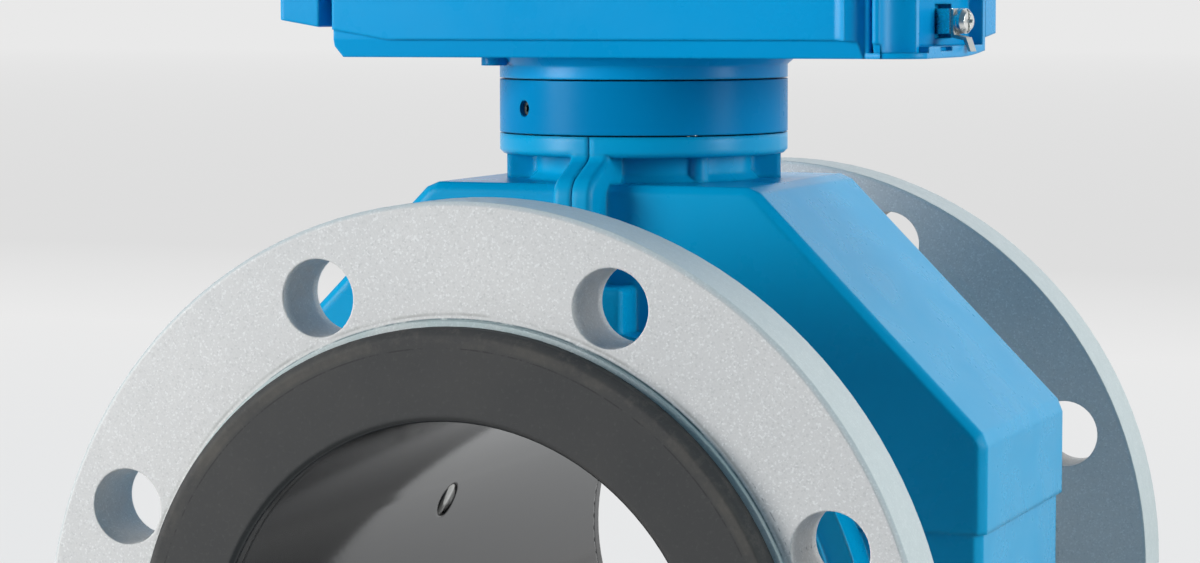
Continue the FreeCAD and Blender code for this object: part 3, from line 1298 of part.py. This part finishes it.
def ground_screw():
    """A pan head screw with a cross slot."""
    x0 = STRAP_REACH + 0.05 + CLAMP_SHEET + 0.02 + WASHER_THICKNESS
    high = GROUND_SCREW_HEAD_HEIGHT
    radius = GROUND_SCREW_HEAD / 2
    rim = rod(GROUND_SCREW_HEAD, V(x0, 0, 0), X_AXIS, high * 0.5)
    crown = Part.makeCone(radius, radius - 1.1, high * 0.5, V(x0 + high * 0.5, 0, 0), X_AXIS)
    shank = rod(GROUND_SCREW, V(-STRAP_DEPTH + 1, 0, 0), X_AXIS, x0 + STRAP_DEPTH - 1)
    slots = [box(x0 + high - 1.1, x0 + high + 1, -w, w, -h, h) for w, h in ((0.6, 5), (2.0, 0.5))]
    return on_entry_wall(merge([rim, crown, shank]).cut(slots))


# ---- write every piece --------------------------------------------------------------------
def main():
    os.makedirs("parts", exist_ok=True)
    stem_holes = [(angle, tube_hole()) for angle in ELECTRODE_ANGLES]
    save("liner", [liner()])
    save("inlet_liner_face", [liner_face(-1)])
    save("outlet_liner_face", [liner_face(1)])
    save("measuring_tube", [measuring_tube(stem_holes)])
    save("inlet_flange", [flange(-1)])
    save("outlet_flange", [flange(1)])
    for name, angle in zip(ELECTRODE_NAMES, ELECTRODE_ANGLES):
        save(name, [about_pipe(electrode(), angle)])
    save("electrode_bushes", [about_pipe(electrode_bush(), angle) for angle in ELECTRODE_ANGLES])
    save("electrode_nuts", [about_pipe(electrode_nut(), angle) for angle in ELECTRODE_ANGLES])
    for name, side in (("top", 1), ("bottom", -1)):
        save("pole_shoe_" + name, [pole_shoe(side)])
        save("pole_core_" + name, [pole_core(side)])
        save("coil_" + name, [coil(side)])
    save("yoke_left", [yoke(-1)])
    save("yoke_right", [yoke(1)])
    housing = whole_housing()
    save("left_half_shell", [half_shell(housing, -1)])
    save("right_half_shell", [half_shell(housing, 1)])
    save("shell_gaskets", shell_gaskets(housing))
    save("shell_screws", shell_screws())
    save("neck_ring", [neck_ring()])
    save("neck_gasket", [neck_gasket()])
    save("neck_screws", neck_screws())
    save("lock_screw", [lock_screw()])
    save("transmitter_housing", [transmitter_housing()])
    save("spigot_oring", [spigot_oring()])
    save("cover", [cover()])
    save("cover_gasket", [cover_gasket()])
    save("cover_screws", cover_screws())
    save("window", [window()])
    save("window_frame", [window_frame()])
    save("hinge_pins", hinge_pins())
    save("electronics_carrier", [electronics_carrier()])
    save("display_module", [display_module()])
    save("main_board", [main_board()])
    save("terminal_blocks", terminal_blocks())
    save("gland_bodies", gland_bodies())
    save("gland_nuts", gland_nuts())
    save("gland_seals", gland_seals())
    save("gland_plugs", gland_plugs())
    save("ground_bracket", [ground_bracket()])
    save("ground_clamp", [ground_clamp()])
    save("ground_washer", [ground_washer()])
    save("ground_screw", [ground_screw()])


main()
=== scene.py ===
import json
import math

import bmesh
import bpy
from mathutils import Matrix, Vector


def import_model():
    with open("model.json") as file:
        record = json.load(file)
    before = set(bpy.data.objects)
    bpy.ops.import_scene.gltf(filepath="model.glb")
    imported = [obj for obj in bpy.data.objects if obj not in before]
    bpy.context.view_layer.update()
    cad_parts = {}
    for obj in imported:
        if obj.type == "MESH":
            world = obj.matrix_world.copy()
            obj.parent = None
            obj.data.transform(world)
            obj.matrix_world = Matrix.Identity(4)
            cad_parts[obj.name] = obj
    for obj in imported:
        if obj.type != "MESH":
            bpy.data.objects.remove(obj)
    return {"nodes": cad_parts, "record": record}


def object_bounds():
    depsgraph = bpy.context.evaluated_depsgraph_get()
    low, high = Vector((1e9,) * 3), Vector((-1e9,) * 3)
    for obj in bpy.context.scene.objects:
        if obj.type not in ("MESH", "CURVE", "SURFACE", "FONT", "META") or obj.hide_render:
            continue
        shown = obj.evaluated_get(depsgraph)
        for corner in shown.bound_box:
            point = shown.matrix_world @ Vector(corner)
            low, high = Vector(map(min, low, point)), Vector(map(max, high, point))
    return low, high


# Looks of the flow meter: powder-coated castings, coated flanges, a rubber liner and bright metal parts,
# on a pale table in soft studio light. The CAD pieces keep their shape and get their materials here.

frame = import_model()
start_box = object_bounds()
NODES = frame["nodes"]
scene = bpy.context.scene
scene.view_settings.view_transform = "Standard"

MM = 0.001


# ---- sizes from the frame --------------------------------------------------------------
def outer_radius(node):
    """From the pipe axis to the rim of a round piece."""
    return max(vertex.co.x for vertex in NODES[node].data.vertices)


def mount_size(name, size):
    """One measure of a mount, in millimetres, from the record."""
    return next(m["dims"][size] for m in frame["record"]["mounts"] if m["name"] == name)


LINER_SETBACK = 1.6 * MM           # of the liner's face from the edge of the flange's raised face
ELECTRODE_RAISE = math.radians(22.5)
ELECTRODE_HEAD_RADIUS = 5.7 * MM

FLANGE_RADIUS = outer_radius("inlet_flange")
LINER_FACE_RADIUS = outer_radius("inlet_liner_face")
RAISED_FACE_RADIUS = LINER_FACE_RADIUS + LINER_SETBACK
BORE_RADIUS = mount_size("flow_bore", "r_mm") * MM

# Rings round the pipe axis, in millimetres from an edge's radius: where each one starts, is full, begins
# to fade and ends. The first four are on the flange, from the raised face's edge.
# The teal band is painted shade with a teal cast, over the raised face's step.
TEAL_SHADE_BAND = (-3.0, -2.4, 0.0, 0.6)
DARK_LINE = (0.0, 0.2, 0.4, 0.7)
WORN_LINE = (1.2, 1.5, 1.8, 2.4)
SCRATCH = (2.7, 2.8, 3.0, 3.1)
# The scratch fades in to the right of the pipe axis and from its height up, in millimetres.
SCRATCH_RIGHT = (82.0, 88.0)
SCRATCH_UP = (-10.0, 2.0)
# These two are on the liner, from its face's edge.
LINER_GROOVE = (-6.0, -5.8, -5.6, -5.4)
LINER_DUST = (-5.6, -4.4, -2.4, -0.8)
# Where each of these begins and is full, in millimetres from the flange's, the liner's and the bore's edge.
FLANGE_RIM_SHADE = (-1.5, -0.3)
LINER_RIM = (-7.9, -0.4)
BORE_START = (0.7, 0.1)

# How far the rounded normal has turned, as 1 - cosine, where the painted edge highlights begin and are
# full.
EDGE_TURN = (0.02, 0.25)

# The paint's green and blue, as screen values. It has no red.
TRANSMITTER_BLUE = (147, 204)
# The shell's and the neck's tones are painted shade: darker copies of the same paint.
SHELL_BLUE_SHADED = (147, 194)
NECK_BLUE_SHADED = (122, 174)


# ---- small node helpers ----------------------------------------------------------------
class Shader:
    """A material with one Principled shader and helpers that add nodes to it."""

    def __init__(self, name):
        self.material = bpy.data.materials.new(name)
        self.material.use_nodes = True
        self.tree = self.material.node_tree
        self.tree.nodes.clear()
        self.out = self.add("ShaderNodeOutputMaterial")
        self.bsdf = self.add("ShaderNodeBsdfPrincipled")
        self.link(self.bsdf.outputs[0], self.out.inputs[0])
        self.coords = self.add("ShaderNodeTexCoord").outputs["Object"]

    def add(self, kind):
        return self.tree.nodes.new(kind)

    def link(self, a, b):
        self.tree.links.new(a, b)

    def put(self, socket, value):
        """Link a node's output to the socket, or write a plain value there."""
        if isinstance(value, bpy.types.NodeSocket):
            self.link(value, socket)
        else:
            socket.default_value = value

    def set(self, **values):
        """Put values on the shader's sockets: Base_Color is the socket Base Color."""
        for key, value in values.items():
            self.put(self.bsdf.inputs[key.replace("_", " ")], value)

    def xyz(self):
        node = self.add("ShaderNodeSeparateXYZ")
        self.link(self.coords, node.inputs[0])
        return node.outputs

    def math(self, how, a, b=0.0):
        node = self.add("ShaderNodeMath")
        node.operation = how
        self.put(node.inputs[0], a)
        self.put(node.inputs[1], b)
        return node.outputs[0]

    def times(self, first, *others):
        for other in others:
            first = self.math("MULTIPLY", first, other)
        return first

    def squares(self, *values):
        """The sum of the values' squares."""
        total = 0.0
        for value in values:
            total = self.math("ADD", self.times(value, value), total)
        return total

    def blend(self, a, share, b):
        """A share of a and the rest of b."""
        return self.math("ADD", self.times(a, share), self.times(b, 1.0 - share))

    def span(self, value, a, b, low=0.0, high=1.0):
        """Low where the value is a or beyond, high where it is b or beyond, and even in between."""
        node = self.add("ShaderNodeMapRange")
        self.put(node.inputs["Value"], value)
        node.inputs["From Min"].default_value = a
        node.inputs["From Max"].default_value = b
        node.inputs["To Min"].default_value = low
        node.inputs["To Max"].default_value = high
        return node.outputs[0]

    def noise(self, scale, detail=3.0, roughness=0.55):
        node = self.add("ShaderNodeTexNoise")
        self.link(self.coords, node.inputs["Vector"])
        node.inputs["Scale"].default_value = scale
        node.inputs["Detail"].default_value = detail
        node.inputs["Roughness"].default_value = roughness
        return node.outputs["Fac"]

    def patches(self, scale, detail, between, values=(0.0, 1.0), roughness=0.55):
        """Noise that goes from one value to the other between two of its levels."""
        return self.span(self.noise(scale, detail, roughness), *between, *values)

    def flakes(self, scale):
        """Two values that change by chance from each small cell to the next."""
        cells = self.add("ShaderNodeTexVoronoi")
        self.link(self.coords, cells.inputs["Vector"])
        cells.inputs["Scale"].default_value = scale
        parts = self.add("ShaderNodeSeparateColor")
        self.link(cells.outputs["Color"], parts.inputs[0])
        return parts.outputs[0], parts.outputs[1]

    def mix(self, share, a, b):
        """Colour a where the share is 0 and colour b where it is 1."""
        node = self.add("ShaderNodeMix")
        node.data_type = "RGBA"
        self.put(node.inputs[0], share)
        for socket, colour in ((node.inputs[6], a), (node.inputs[7], b)):
            self.put(socket, (*colour, 1.0) if isinstance(colour, tuple) else colour)
        return node.outputs[2]

    def stain(self, base, colour, strength, *masks):
        """A colour laid over the base, at this strength where every mask is 1."""
        return self.mix(self.times(strength, *masks), base, colour)

    def radius(self):
        """Distance from the pipe axis."""
        x, _, z = self.xyz()
        return self.math("SQRT", self.squares(x, z))

    def slope(self, value, edge, between):
        """From 0 to 1 between two distances, given in millimetres from an edge."""
        return self.span(value, *(edge + step * MM for step in between))

    def ring(self, radius, edge, mark):
        """1 along a ring, given in millimetres from an edge's radius."""
        start, full, fade, end = mark
        return self.times(self.slope(radius, edge, (start, full)), self.slope(radius, edge, (end, fade)))

    def bump(self, height, strength, distance, normal=None):
        node = self.add("ShaderNodeBump")
        self.link(height, node.inputs["Height"])
        node.inputs["Strength"].default_value = strength
        node.inputs["Distance"].default_value = distance
        if normal is not None:
            self.link(normal, node.inputs["Normal"])
        return node.outputs[0]

    def bevel(self, radius, samples=6):
        """Normals that round the edges off."""
        node = self.add("ShaderNodeBevel")
        node.samples = samples
        node.inputs["Radius"].default_value = radius
        return node.outputs[0]

    def edge(self, radius):
        """0 on flat faces, 1 near edges, where the rounded normal turns away from the true one."""
        dot = self.add("ShaderNodeVectorMath")
        dot.operation = "DOT_PRODUCT"
        self.link(self.bevel(radius, samples=4), dot.inputs[0])
        self.link(self.add("ShaderNodeNewGeometry").outputs["Normal"], dot.inputs[1])
        return self.span(self.math("SUBTRACT", 1.0, dot.outputs["Value"]), *EDGE_TURN)


def srgb(*screen):
    """Linear colour from 0-255 screen values."""
    shares = [value / 255 for value in screen]
    return tuple(c / 12.92 if c <= 0.04045 else ((c + 0.055) / 1.055) ** 2.4 for c in shares)


def darker(colour, share):
    return tuple(part * share for part in colour)


# ---- materials -------------------------------------------------------------------------
def blue_paint(name, round_over, tone, shine=0.12):
    """Satin powder coat: even colour, fine orange peel, a few paler specks and a painted highlight along
    the edges, broken up by noise.
    """
    s = Shader(name)
    green, blue = tone
    base = s.mix(s.patches(9.0, 2.0, (0.35, 0.65)), srgb(0, green, blue), srgb(0, green + 5, blue + 5))
    specks = s.patches(1500.0, 1.0, (0.70, 0.80))
    base = s.stain(base, srgb(60, green + 20, blue + 14), 0.08, specks)
    # Painted highlight: paler paint along the edges, broken up by noise.
    edge_highlight_patches = s.patches(160.0, 4.0, (0.42, 0.62))
    base = s.stain(base, srgb(90, green + 38, blue + 20), 0.14, s.edge(0.7 * MM), edge_highlight_patches)
    peel = s.blend(s.noise(520.0, 2.0), 0.7, s.noise(1600.0, 1.0))
    s.set(
        Base_Color=base,
        Roughness=s.patches(60.0, 4.0, (0.3, 0.7), (0.25, 0.33)),
        Specular_IOR_Level=shine,
        Normal=s.bump(peel, 0.30, 0.08 * MM, s.bevel(round_over)),
    )
    return s.material


def grey_coat(name, marks=None):
    """Pale coating with a fine grain, bright and dark flakes and a painted highlight along the edges.
    The marks, if there are any, are a function that lays its marks over the colour."""
    s = Shader(name)
    base = s.mix(s.patches(14.0, 3.0, (0.3, 0.7)), srgb(195, 193, 191), srgb(205, 202, 199))
    grain = s.noise(1500.0, 3.0, 0.7)
    base = s.stain(base, srgb(150, 150, 150), 0.16, s.span(grain, 0.65, 0.35))
    bright, dark = s.flakes(2000.0)
    base = s.stain(base, srgb(244, 244, 242), 0.28, s.span(bright, 0.80, 0.95))
    base = s.stain(base, srgb(120, 122, 122), 0.16, s.span(dark, 0.86, 0.97))
    # Painted highlight: paler coating along the edges, broken up by noise.
    edge_highlight_patches = s.patches(120.0, 4.0, (0.40, 0.60))
    base = s.stain(base, srgb(232, 232, 228), 0.25, s.edge(0.8 * MM), edge_highlight_patches)
    if marks:
        base = marks(s, base)
    s.set(
        Base_Color=base,
        Roughness=s.patches(300.0, 3.0, (0.3, 0.7), (0.42, 0.60)),
        Normal=s.bump(grain, 0.5, 0.10 * MM, s.bevel(0.8 * MM)),
    )
    return s.material


def flange_marks(s, base):
    """Painted shade with a teal cast on the rim, and round the raised face a ring of painted teal shade
    over its step, a dark line, a worn line and a short scratch.
    """
    r = s.radius()
    # Painted shade with a teal cast on the flange's rim.
    base = s.stain(base, srgb(166, 182, 184), 0.55, s.slope(r, FLANGE_RADIUS, FLANGE_RIM_SHADE))
    # Painted shade with a teal cast: a ring over the raised face's step, uneven along its way round.
    uneven = s.patches(26.0, 4.0, (0.30, 0.62), (0.35, 1.0), roughness=0.6)
    base = s.stain(base, srgb(112, 158, 162), 0.62, s.ring(r, RAISED_FACE_RADIUS, TEAL_SHADE_BAND), uneven)
    broken = s.patches(70.0, 5.0, (0.40, 0.52), roughness=0.7)
    base = s.stain(base, srgb(52, 84, 90), 0.80, s.ring(r, RAISED_FACE_RADIUS, DARK_LINE), broken)
    patchy = s.patches(48.0, 5.0, (0.38, 0.56), roughness=0.7)
    base = s.stain(base, srgb(108, 106, 100), 0.42, s.ring(r, RAISED_FACE_RADIUS, WORN_LINE), patchy)
    x, _, z = s.xyz()
    here = s.times(s.slope(x, 0.0, SCRATCH_RIGHT), s.slope(z, 0.0, SCRATCH_UP))
    dotted = s.patches(620.0, 2.0, (0.52, 0.60))
    return s.stain(base, srgb(90, 94, 94), 0.55, s.ring(r, RAISED_FACE_RADIUS, SCRATCH), dotted, here)


def liner_rubber():
    """Dull rubber with a worn and dusty rim and a broken groove, and smooth and shiny in the bore."""
    s = Shader("liner_rubber")
    r = s.radius()
    fine = s.noise(700.0, 3.0, 0.7)
    base = s.mix(s.patches(35.0, 4.0, (0.3, 0.7), roughness=0.6), srgb(50, 50, 50), srgb(57, 56, 55))
    base = s.stain(base, srgb(82, 81, 79), 0.30, s.span(fine, 0.55, 0.75))
    worn = s.patches(260.0, 5.0, (0.50, 0.66), roughness=0.75)
    base = s.stain(base, srgb(92, 86, 80), 0.35, s.slope(r, LINER_FACE_RADIUS, LINER_RIM), worn)
    broken = s.patches(190.0, 4.0, (0.44, 0.54), roughness=0.7)
    base = s.stain(base, srgb(28, 28, 28), 0.65, s.ring(r, LINER_FACE_RADIUS, LINER_GROOVE), broken)
    patchy = s.patches(30.0, 5.0, (0.42, 0.66), roughness=0.7)
    base = s.stain(base, srgb(88, 83, 75), 0.55, s.ring(r, LINER_FACE_RADIUS, LINER_DUST), patchy)
    inside = s.slope(r, BORE_RADIUS, BORE_START)
    s.set(
        Base_Color=s.mix(inside, base, srgb(38, 40, 42)),
        Roughness=s.span(inside, 0.0, 1.0, 0.72, 0.11),
        Specular_IOR_Level=s.span(inside, 0.0, 1.0, 0.35, 1.0),
        Normal=s.bump(s.blend(fine, 0.5, s.noise(120.0)), 0.25, 0.12 * MM, s.bevel(1.6 * MM)),
    )
    return s.material


def metal(name, colour, rough, metallic=1.0):
    s = Shader(name)
    grain = s.noise(900.0, 4.0, 0.6)
    s.set(
        Base_Color=s.mix(s.span(grain, 0.3, 0.7), darker(colour, 0.86), colour),
        Metallic=metallic,
        Roughness=s.patches(500.0, 3.0, (0.3, 0.7), (rough * 0.8, rough * 1.25)),
        Normal=s.bump(grain, 0.15, 0.03 * MM, s.bevel(0.2 * MM)),
    )
    return s.material


def electrode_alloy():
    """Polished alloy with slightly domed heads where the electrodes look into the bore."""
    s = Shader("electrode_alloy")
    x, y, z = s.xyz()
    across = s.math("SUBTRACT", s.math("ABSOLUTE", x), BORE_RADIUS * math.cos(ELECTRODE_RAISE))
    up = s.math("SUBTRACT", z, BORE_RADIUS * math.sin(ELECTRODE_RAISE))
    dome = s.span(s.squares(across, up, y), 0.0, ELECTRODE_HEAD_RADIUS ** 2, 1.0, 0.0)
    scuff = s.patches(900.0, 4.0, (0.3, 0.7), roughness=0.6)
    s.set(
        Base_Color=s.mix(scuff, (0.34, 0.34, 0.33), (0.50, 0.50, 0.48)),
        Metallic=1.0,
        Roughness=s.patches(500.0, 3.0, (0.3, 0.7), (0.14, 0.22)),
        Normal=s.bump(dome, 1.0, 1.3 * MM),
    )
    return s.material


def plastic(name, colour, rough):
    s = Shader(name)
    grain = s.noise(800.0, 3.0, 0.6)
    s.set(
        Base_Color=s.mix(s.patches(40.0, 3.0, (0.3, 0.7)), darker(colour, 0.9), colour),
        Roughness=s.span(grain, 0.3, 0.7, rough * 0.88, rough * 1.1),
        Normal=s.bump(grain, 0.25, 0.05 * MM, s.bevel(0.4 * MM)),
    )
    return s.material


def window_glass():
    s = Shader("window_glass")
    s.set(
        Base_Color=(0.92, 0.96, 0.96, 1.0),
        Roughness=s.patches(200.0, 3.0, (0.3, 0.7), (0.02, 0.06)),
        IOR=1.5,
        Transmission_Weight=1.0,
    )
    return s.material


def dress():
    """Give each node the material of its slot in the record, or its own."""
    slot_materials = {
        "blue_paint": blue_paint("blue_paint", 1.2 * MM, TRANSMITTER_BLUE),
        "flange_coating": grey_coat("flange_coating", flange_marks),
        "tube_steel": grey_coat("tube_steel"),
        "liner_rubber": liner_rubber(),
        "seal_rubber": plastic("seal_rubber", (0.03, 0.03, 0.03), rough=0.7),
        "electrode_alloy": electrode_alloy(),
        "insulator_plastic": plastic("insulator_plastic", (0.75, 0.73, 0.66), rough=0.5),
        "magnet_iron": metal("magnet_iron", (0.20, 0.20, 0.21), rough=0.5),
        "coil_winding": metal("coil_winding", (0.62, 0.28, 0.12), rough=0.3),
        "bright_hardware": metal("bright_hardware", (0.72, 0.72, 0.70), rough=0.28),
        "dark_hardware": metal("dark_hardware", (0.10, 0.12, 0.12), rough=0.42),
        "window_glass": window_glass(),
        "black_plastic": plastic("black_plastic", (0.03, 0.03, 0.032), rough=0.5),
        "display_plastic": plastic("display_plastic", (0.09, 0.10, 0.11), rough=0.4),
        "board_laminate": plastic("board_laminate", (0.02, 0.16, 0.06), rough=0.35),
        "terminal_plastic": plastic("terminal_plastic", (0.04, 0.20, 0.09), rough=0.45),
        "gland_plastic": plastic("gland_plastic", (0.22, 0.23, 0.24), rough=0.5),
        "plug_plastic": plastic("plug_plastic", (0.50, 0.05, 0.04), rough=0.45),
    }
    # The sensor's castings get darker copies of the transmitter's paint: painted shade, deepest on the
    # neck.
    shaded_shell_paint = blue_paint("blue_paint_shell_shaded", 2.6 * MM, SHELL_BLUE_SHADED, shine=0.14)
    own_materials = {
        "left_half_shell": shaded_shell_paint,
        "right_half_shell": shaded_shell_paint,
        "neck_ring": blue_paint("blue_paint_neck_shaded", 0.8 * MM, NECK_BLUE_SHADED, shine=0.03),
        "ground_clamp": metal("clamp_nickel", (0.50, 0.485, 0.46), rough=0.45, metallic=0.35),
    }
    slots = {part["node"]: part["material_slot"] for part in frame["record"]["subparts"]}
    for node, obj in NODES.items():
        obj.data.materials.clear()
        obj.data.materials.append(own_materials.get(node) or slot_materials[slots[node]])


# ---- floor, background and light -------------------------------------------------------
BACKGROUND = srgb(233, 233, 233)
# Painted shade: the floor's glow is darker in a band behind the object.
BACKDROP_SHADE = srgb(222, 222, 222)
TABLE_FRONT = srgb(250, 250, 250)
TABLE_BASE = (0.42, 0.44, 0.45)        # for the light that the table throws back on the object
TABLE_SEEN = (0.54, 0.54, 0.54)        # where the table itself is seen
TABLE_DROP = 0.2 * MM
TABLE_EDGE = -0.9
TABLE_REACH = 60.0
BACKDROP_SHADE_SPAN = (0.6, 3.0)                 # distances behind the object, in metres
BACKGROUND_SPAN = (4.0, 22.0)
GLOW_SPAN = (0.5, 2.0)
GLOW_NEAR, GLOW_FAR = 0.66, 1.0

BACKDROP_SIDE = (0.30, 0.95, 0.0)      # the way from the object to the bright backdrop
BACKDROP_LIGHT = (1.10, 1.11, 1.11)
ROOM_LIGHT = (0.062, 0.150, 0.235)
BACKDROP_FULL = 0.85

# Name, place, the point it is aimed at, diameter in metres, watts and colour.
LAMPS = (
    ("left_front", (-2.1, -1.9, 0.62), (0.0, 0.0, 0.08), 1.5, 103.0, (1.0, 0.978, 0.95)),
    ("top", (0.25, 0.55, 1.9), (0.0, 0.0, 0.1), 0.9, 9.0, (1.0, 1.0, 1.0)),
    ("right", (2.0, -0.10, 0.45), (0.0, 0.0, 0.05), 0.8, 25.0, (0.94, 1.0, 0.99)),
)

CAMERA_PLACE = (0.3808, -0.9640, 0.1951)
CAMERA_YAW = 22.35                     # degrees to the left of the flow direction
CAMERA_PITCH = -4.93
CAMERA_ROLL = -0.15
CAMERA_LENS = 95.52
SENSOR_WIDTH = 36.0
CLIP_START, CLIP_END = 0.05, 200.0


def floor():
    """A pale table that runs back to the horizon and ends in front of the object.
    What the camera sees of it glows a little by itself, so that it stays pale."""
    z = start_box[0].z - TABLE_DROP
    corners = ((-TABLE_REACH, TABLE_EDGE), (TABLE_REACH, TABLE_EDGE), (TABLE_REACH, TABLE_REACH),
               (-TABLE_REACH, TABLE_REACH))
    build = bmesh.new()
    build.faces.new([build.verts.new((x, y, z)) for x, y in corners])
    mesh = bpy.data.meshes.new("floor")
    build.to_mesh(mesh)
    build.free()
    obj = bpy.data.objects.new("floor", mesh)
    scene.collection.objects.link(obj)

    s = Shader("floor")
    y = s.xyz()[1]
    # Painted shade: a darker band in the glow behind the object, then the even backdrop.
    tone = s.mix(s.span(y, *BACKDROP_SHADE_SPAN), TABLE_FRONT, BACKDROP_SHADE)
    tone = s.mix(s.span(y, *BACKGROUND_SPAN), tone, BACKGROUND)
    glow = s.add("ShaderNodeEmission")
    s.link(tone, glow.inputs["Color"])
    path = s.add("ShaderNodeLightPath").outputs
    mirrored = s.math("MAXIMUM", path["Is Glossy Ray"], path["Is Transmission Ray"])
    seen = s.math("MAXIMUM", path["Is Camera Ray"], mirrored)
    s.set(Base_Color=s.mix(seen, TABLE_BASE, TABLE_SEEN), Roughness=0.9)
    blend = s.add("ShaderNodeMixShader")
    s.link(s.times(seen, s.span(y, *GLOW_SPAN, GLOW_NEAR, GLOW_FAR)), blend.inputs[0])
    s.link(s.bsdf.outputs[0], blend.inputs[1])
    s.link(glow.outputs[0], blend.inputs[2])
    s.link(blend.outputs[0], s.out.inputs[0])
    obj.data.materials.append(s.material)


def world():
    """A bright backdrop behind the object and a dim room in front of it."""
    room = bpy.data.worlds.new("world")
    scene.world = room
    room.use_nodes = True
    tree = room.node_tree
    tree.nodes.clear()
    add = tree.nodes.new
    link = tree.links.new
    facing = add("ShaderNodeVectorMath")
    facing.operation = "DOT_PRODUCT"
    facing.inputs[1].default_value = BACKDROP_SIDE
    link(add("ShaderNodeTexCoord").outputs["Generated"], facing.inputs[0])
    behind = add("ShaderNodeMapRange")
    behind.interpolation_type = "SMOOTHSTEP"
    link(facing.outputs["Value"], behind.inputs["Value"])
    behind.inputs["From Min"].default_value = 0.0
    behind.inputs["From Max"].default_value = BACKDROP_FULL
    tint = add("ShaderNodeMix")
    tint.data_type = "RGBA"
    tint.inputs[6].default_value = (*ROOM_LIGHT, 1.0)
    tint.inputs[7].default_value = (*BACKDROP_LIGHT, 1.0)
    link(behind.outputs[0], tint.inputs[0])
    light = add("ShaderNodeBackground")
    link(tint.outputs[2], light.inputs["Color"])
    seen = add("ShaderNodeBackground")
    seen.inputs["Color"].default_value = (*BACKGROUND, 1.0)
    blend = add("ShaderNodeMixShader")
    link(add("ShaderNodeLightPath").outputs["Is Camera Ray"], blend.inputs[0])
    link(light.outputs[0], blend.inputs[1])
    link(seen.outputs[0], blend.inputs[2])
    link(blend.outputs[0], add("ShaderNodeOutputWorld").inputs[0])


def lamp(name, place, target, size, power, colour):
    data = bpy.data.lights.new(name, "AREA")
    data.shape = "DISK"
    data.size = size
    data.energy = power
    data.color = colour
    obj = bpy.data.objects.new(name, data)
    obj.location = place
    obj.rotation_mode = "QUATERNION"
    obj.rotation_quaternion = (Vector(target) - Vector(place)).to_track_quat("-Z", "Y")
    scene.collection.objects.link(obj)


def camera():
    yaw = math.radians(CAMERA_YAW)
    pitch = math.radians(CAMERA_PITCH)
    roll = math.radians(CAMERA_ROLL)
    forward = Vector((-math.sin(yaw) * math.cos(pitch), math.cos(yaw) * math.cos(pitch), math.sin(pitch)))
    right = Vector((math.cos(yaw), math.sin(yaw), 0.0))
    up = right.cross(forward)
    side = right * math.cos(roll) + up * math.sin(roll)
    top = up * math.cos(roll) - right * math.sin(roll)
    data = bpy.data.cameras.new("camera")
    data.sensor_width = SENSOR_WIDTH
    data.sensor_fit = "HORIZONTAL"
    data.lens = CAMERA_LENS
    data.clip_start = CLIP_START
    data.clip_end = CLIP_END
    obj = bpy.data.objects.new("camera", data)
    turn = Matrix((side, top, -forward)).transposed().to_4x4()
    obj.matrix_world = Matrix.Translation(CAMERA_PLACE) @ turn
    scene.collection.objects.link(obj)
    scene.camera = obj


dress()
floor()
world()
for settings in LAMPS:
    lamp(*settings)
camera()
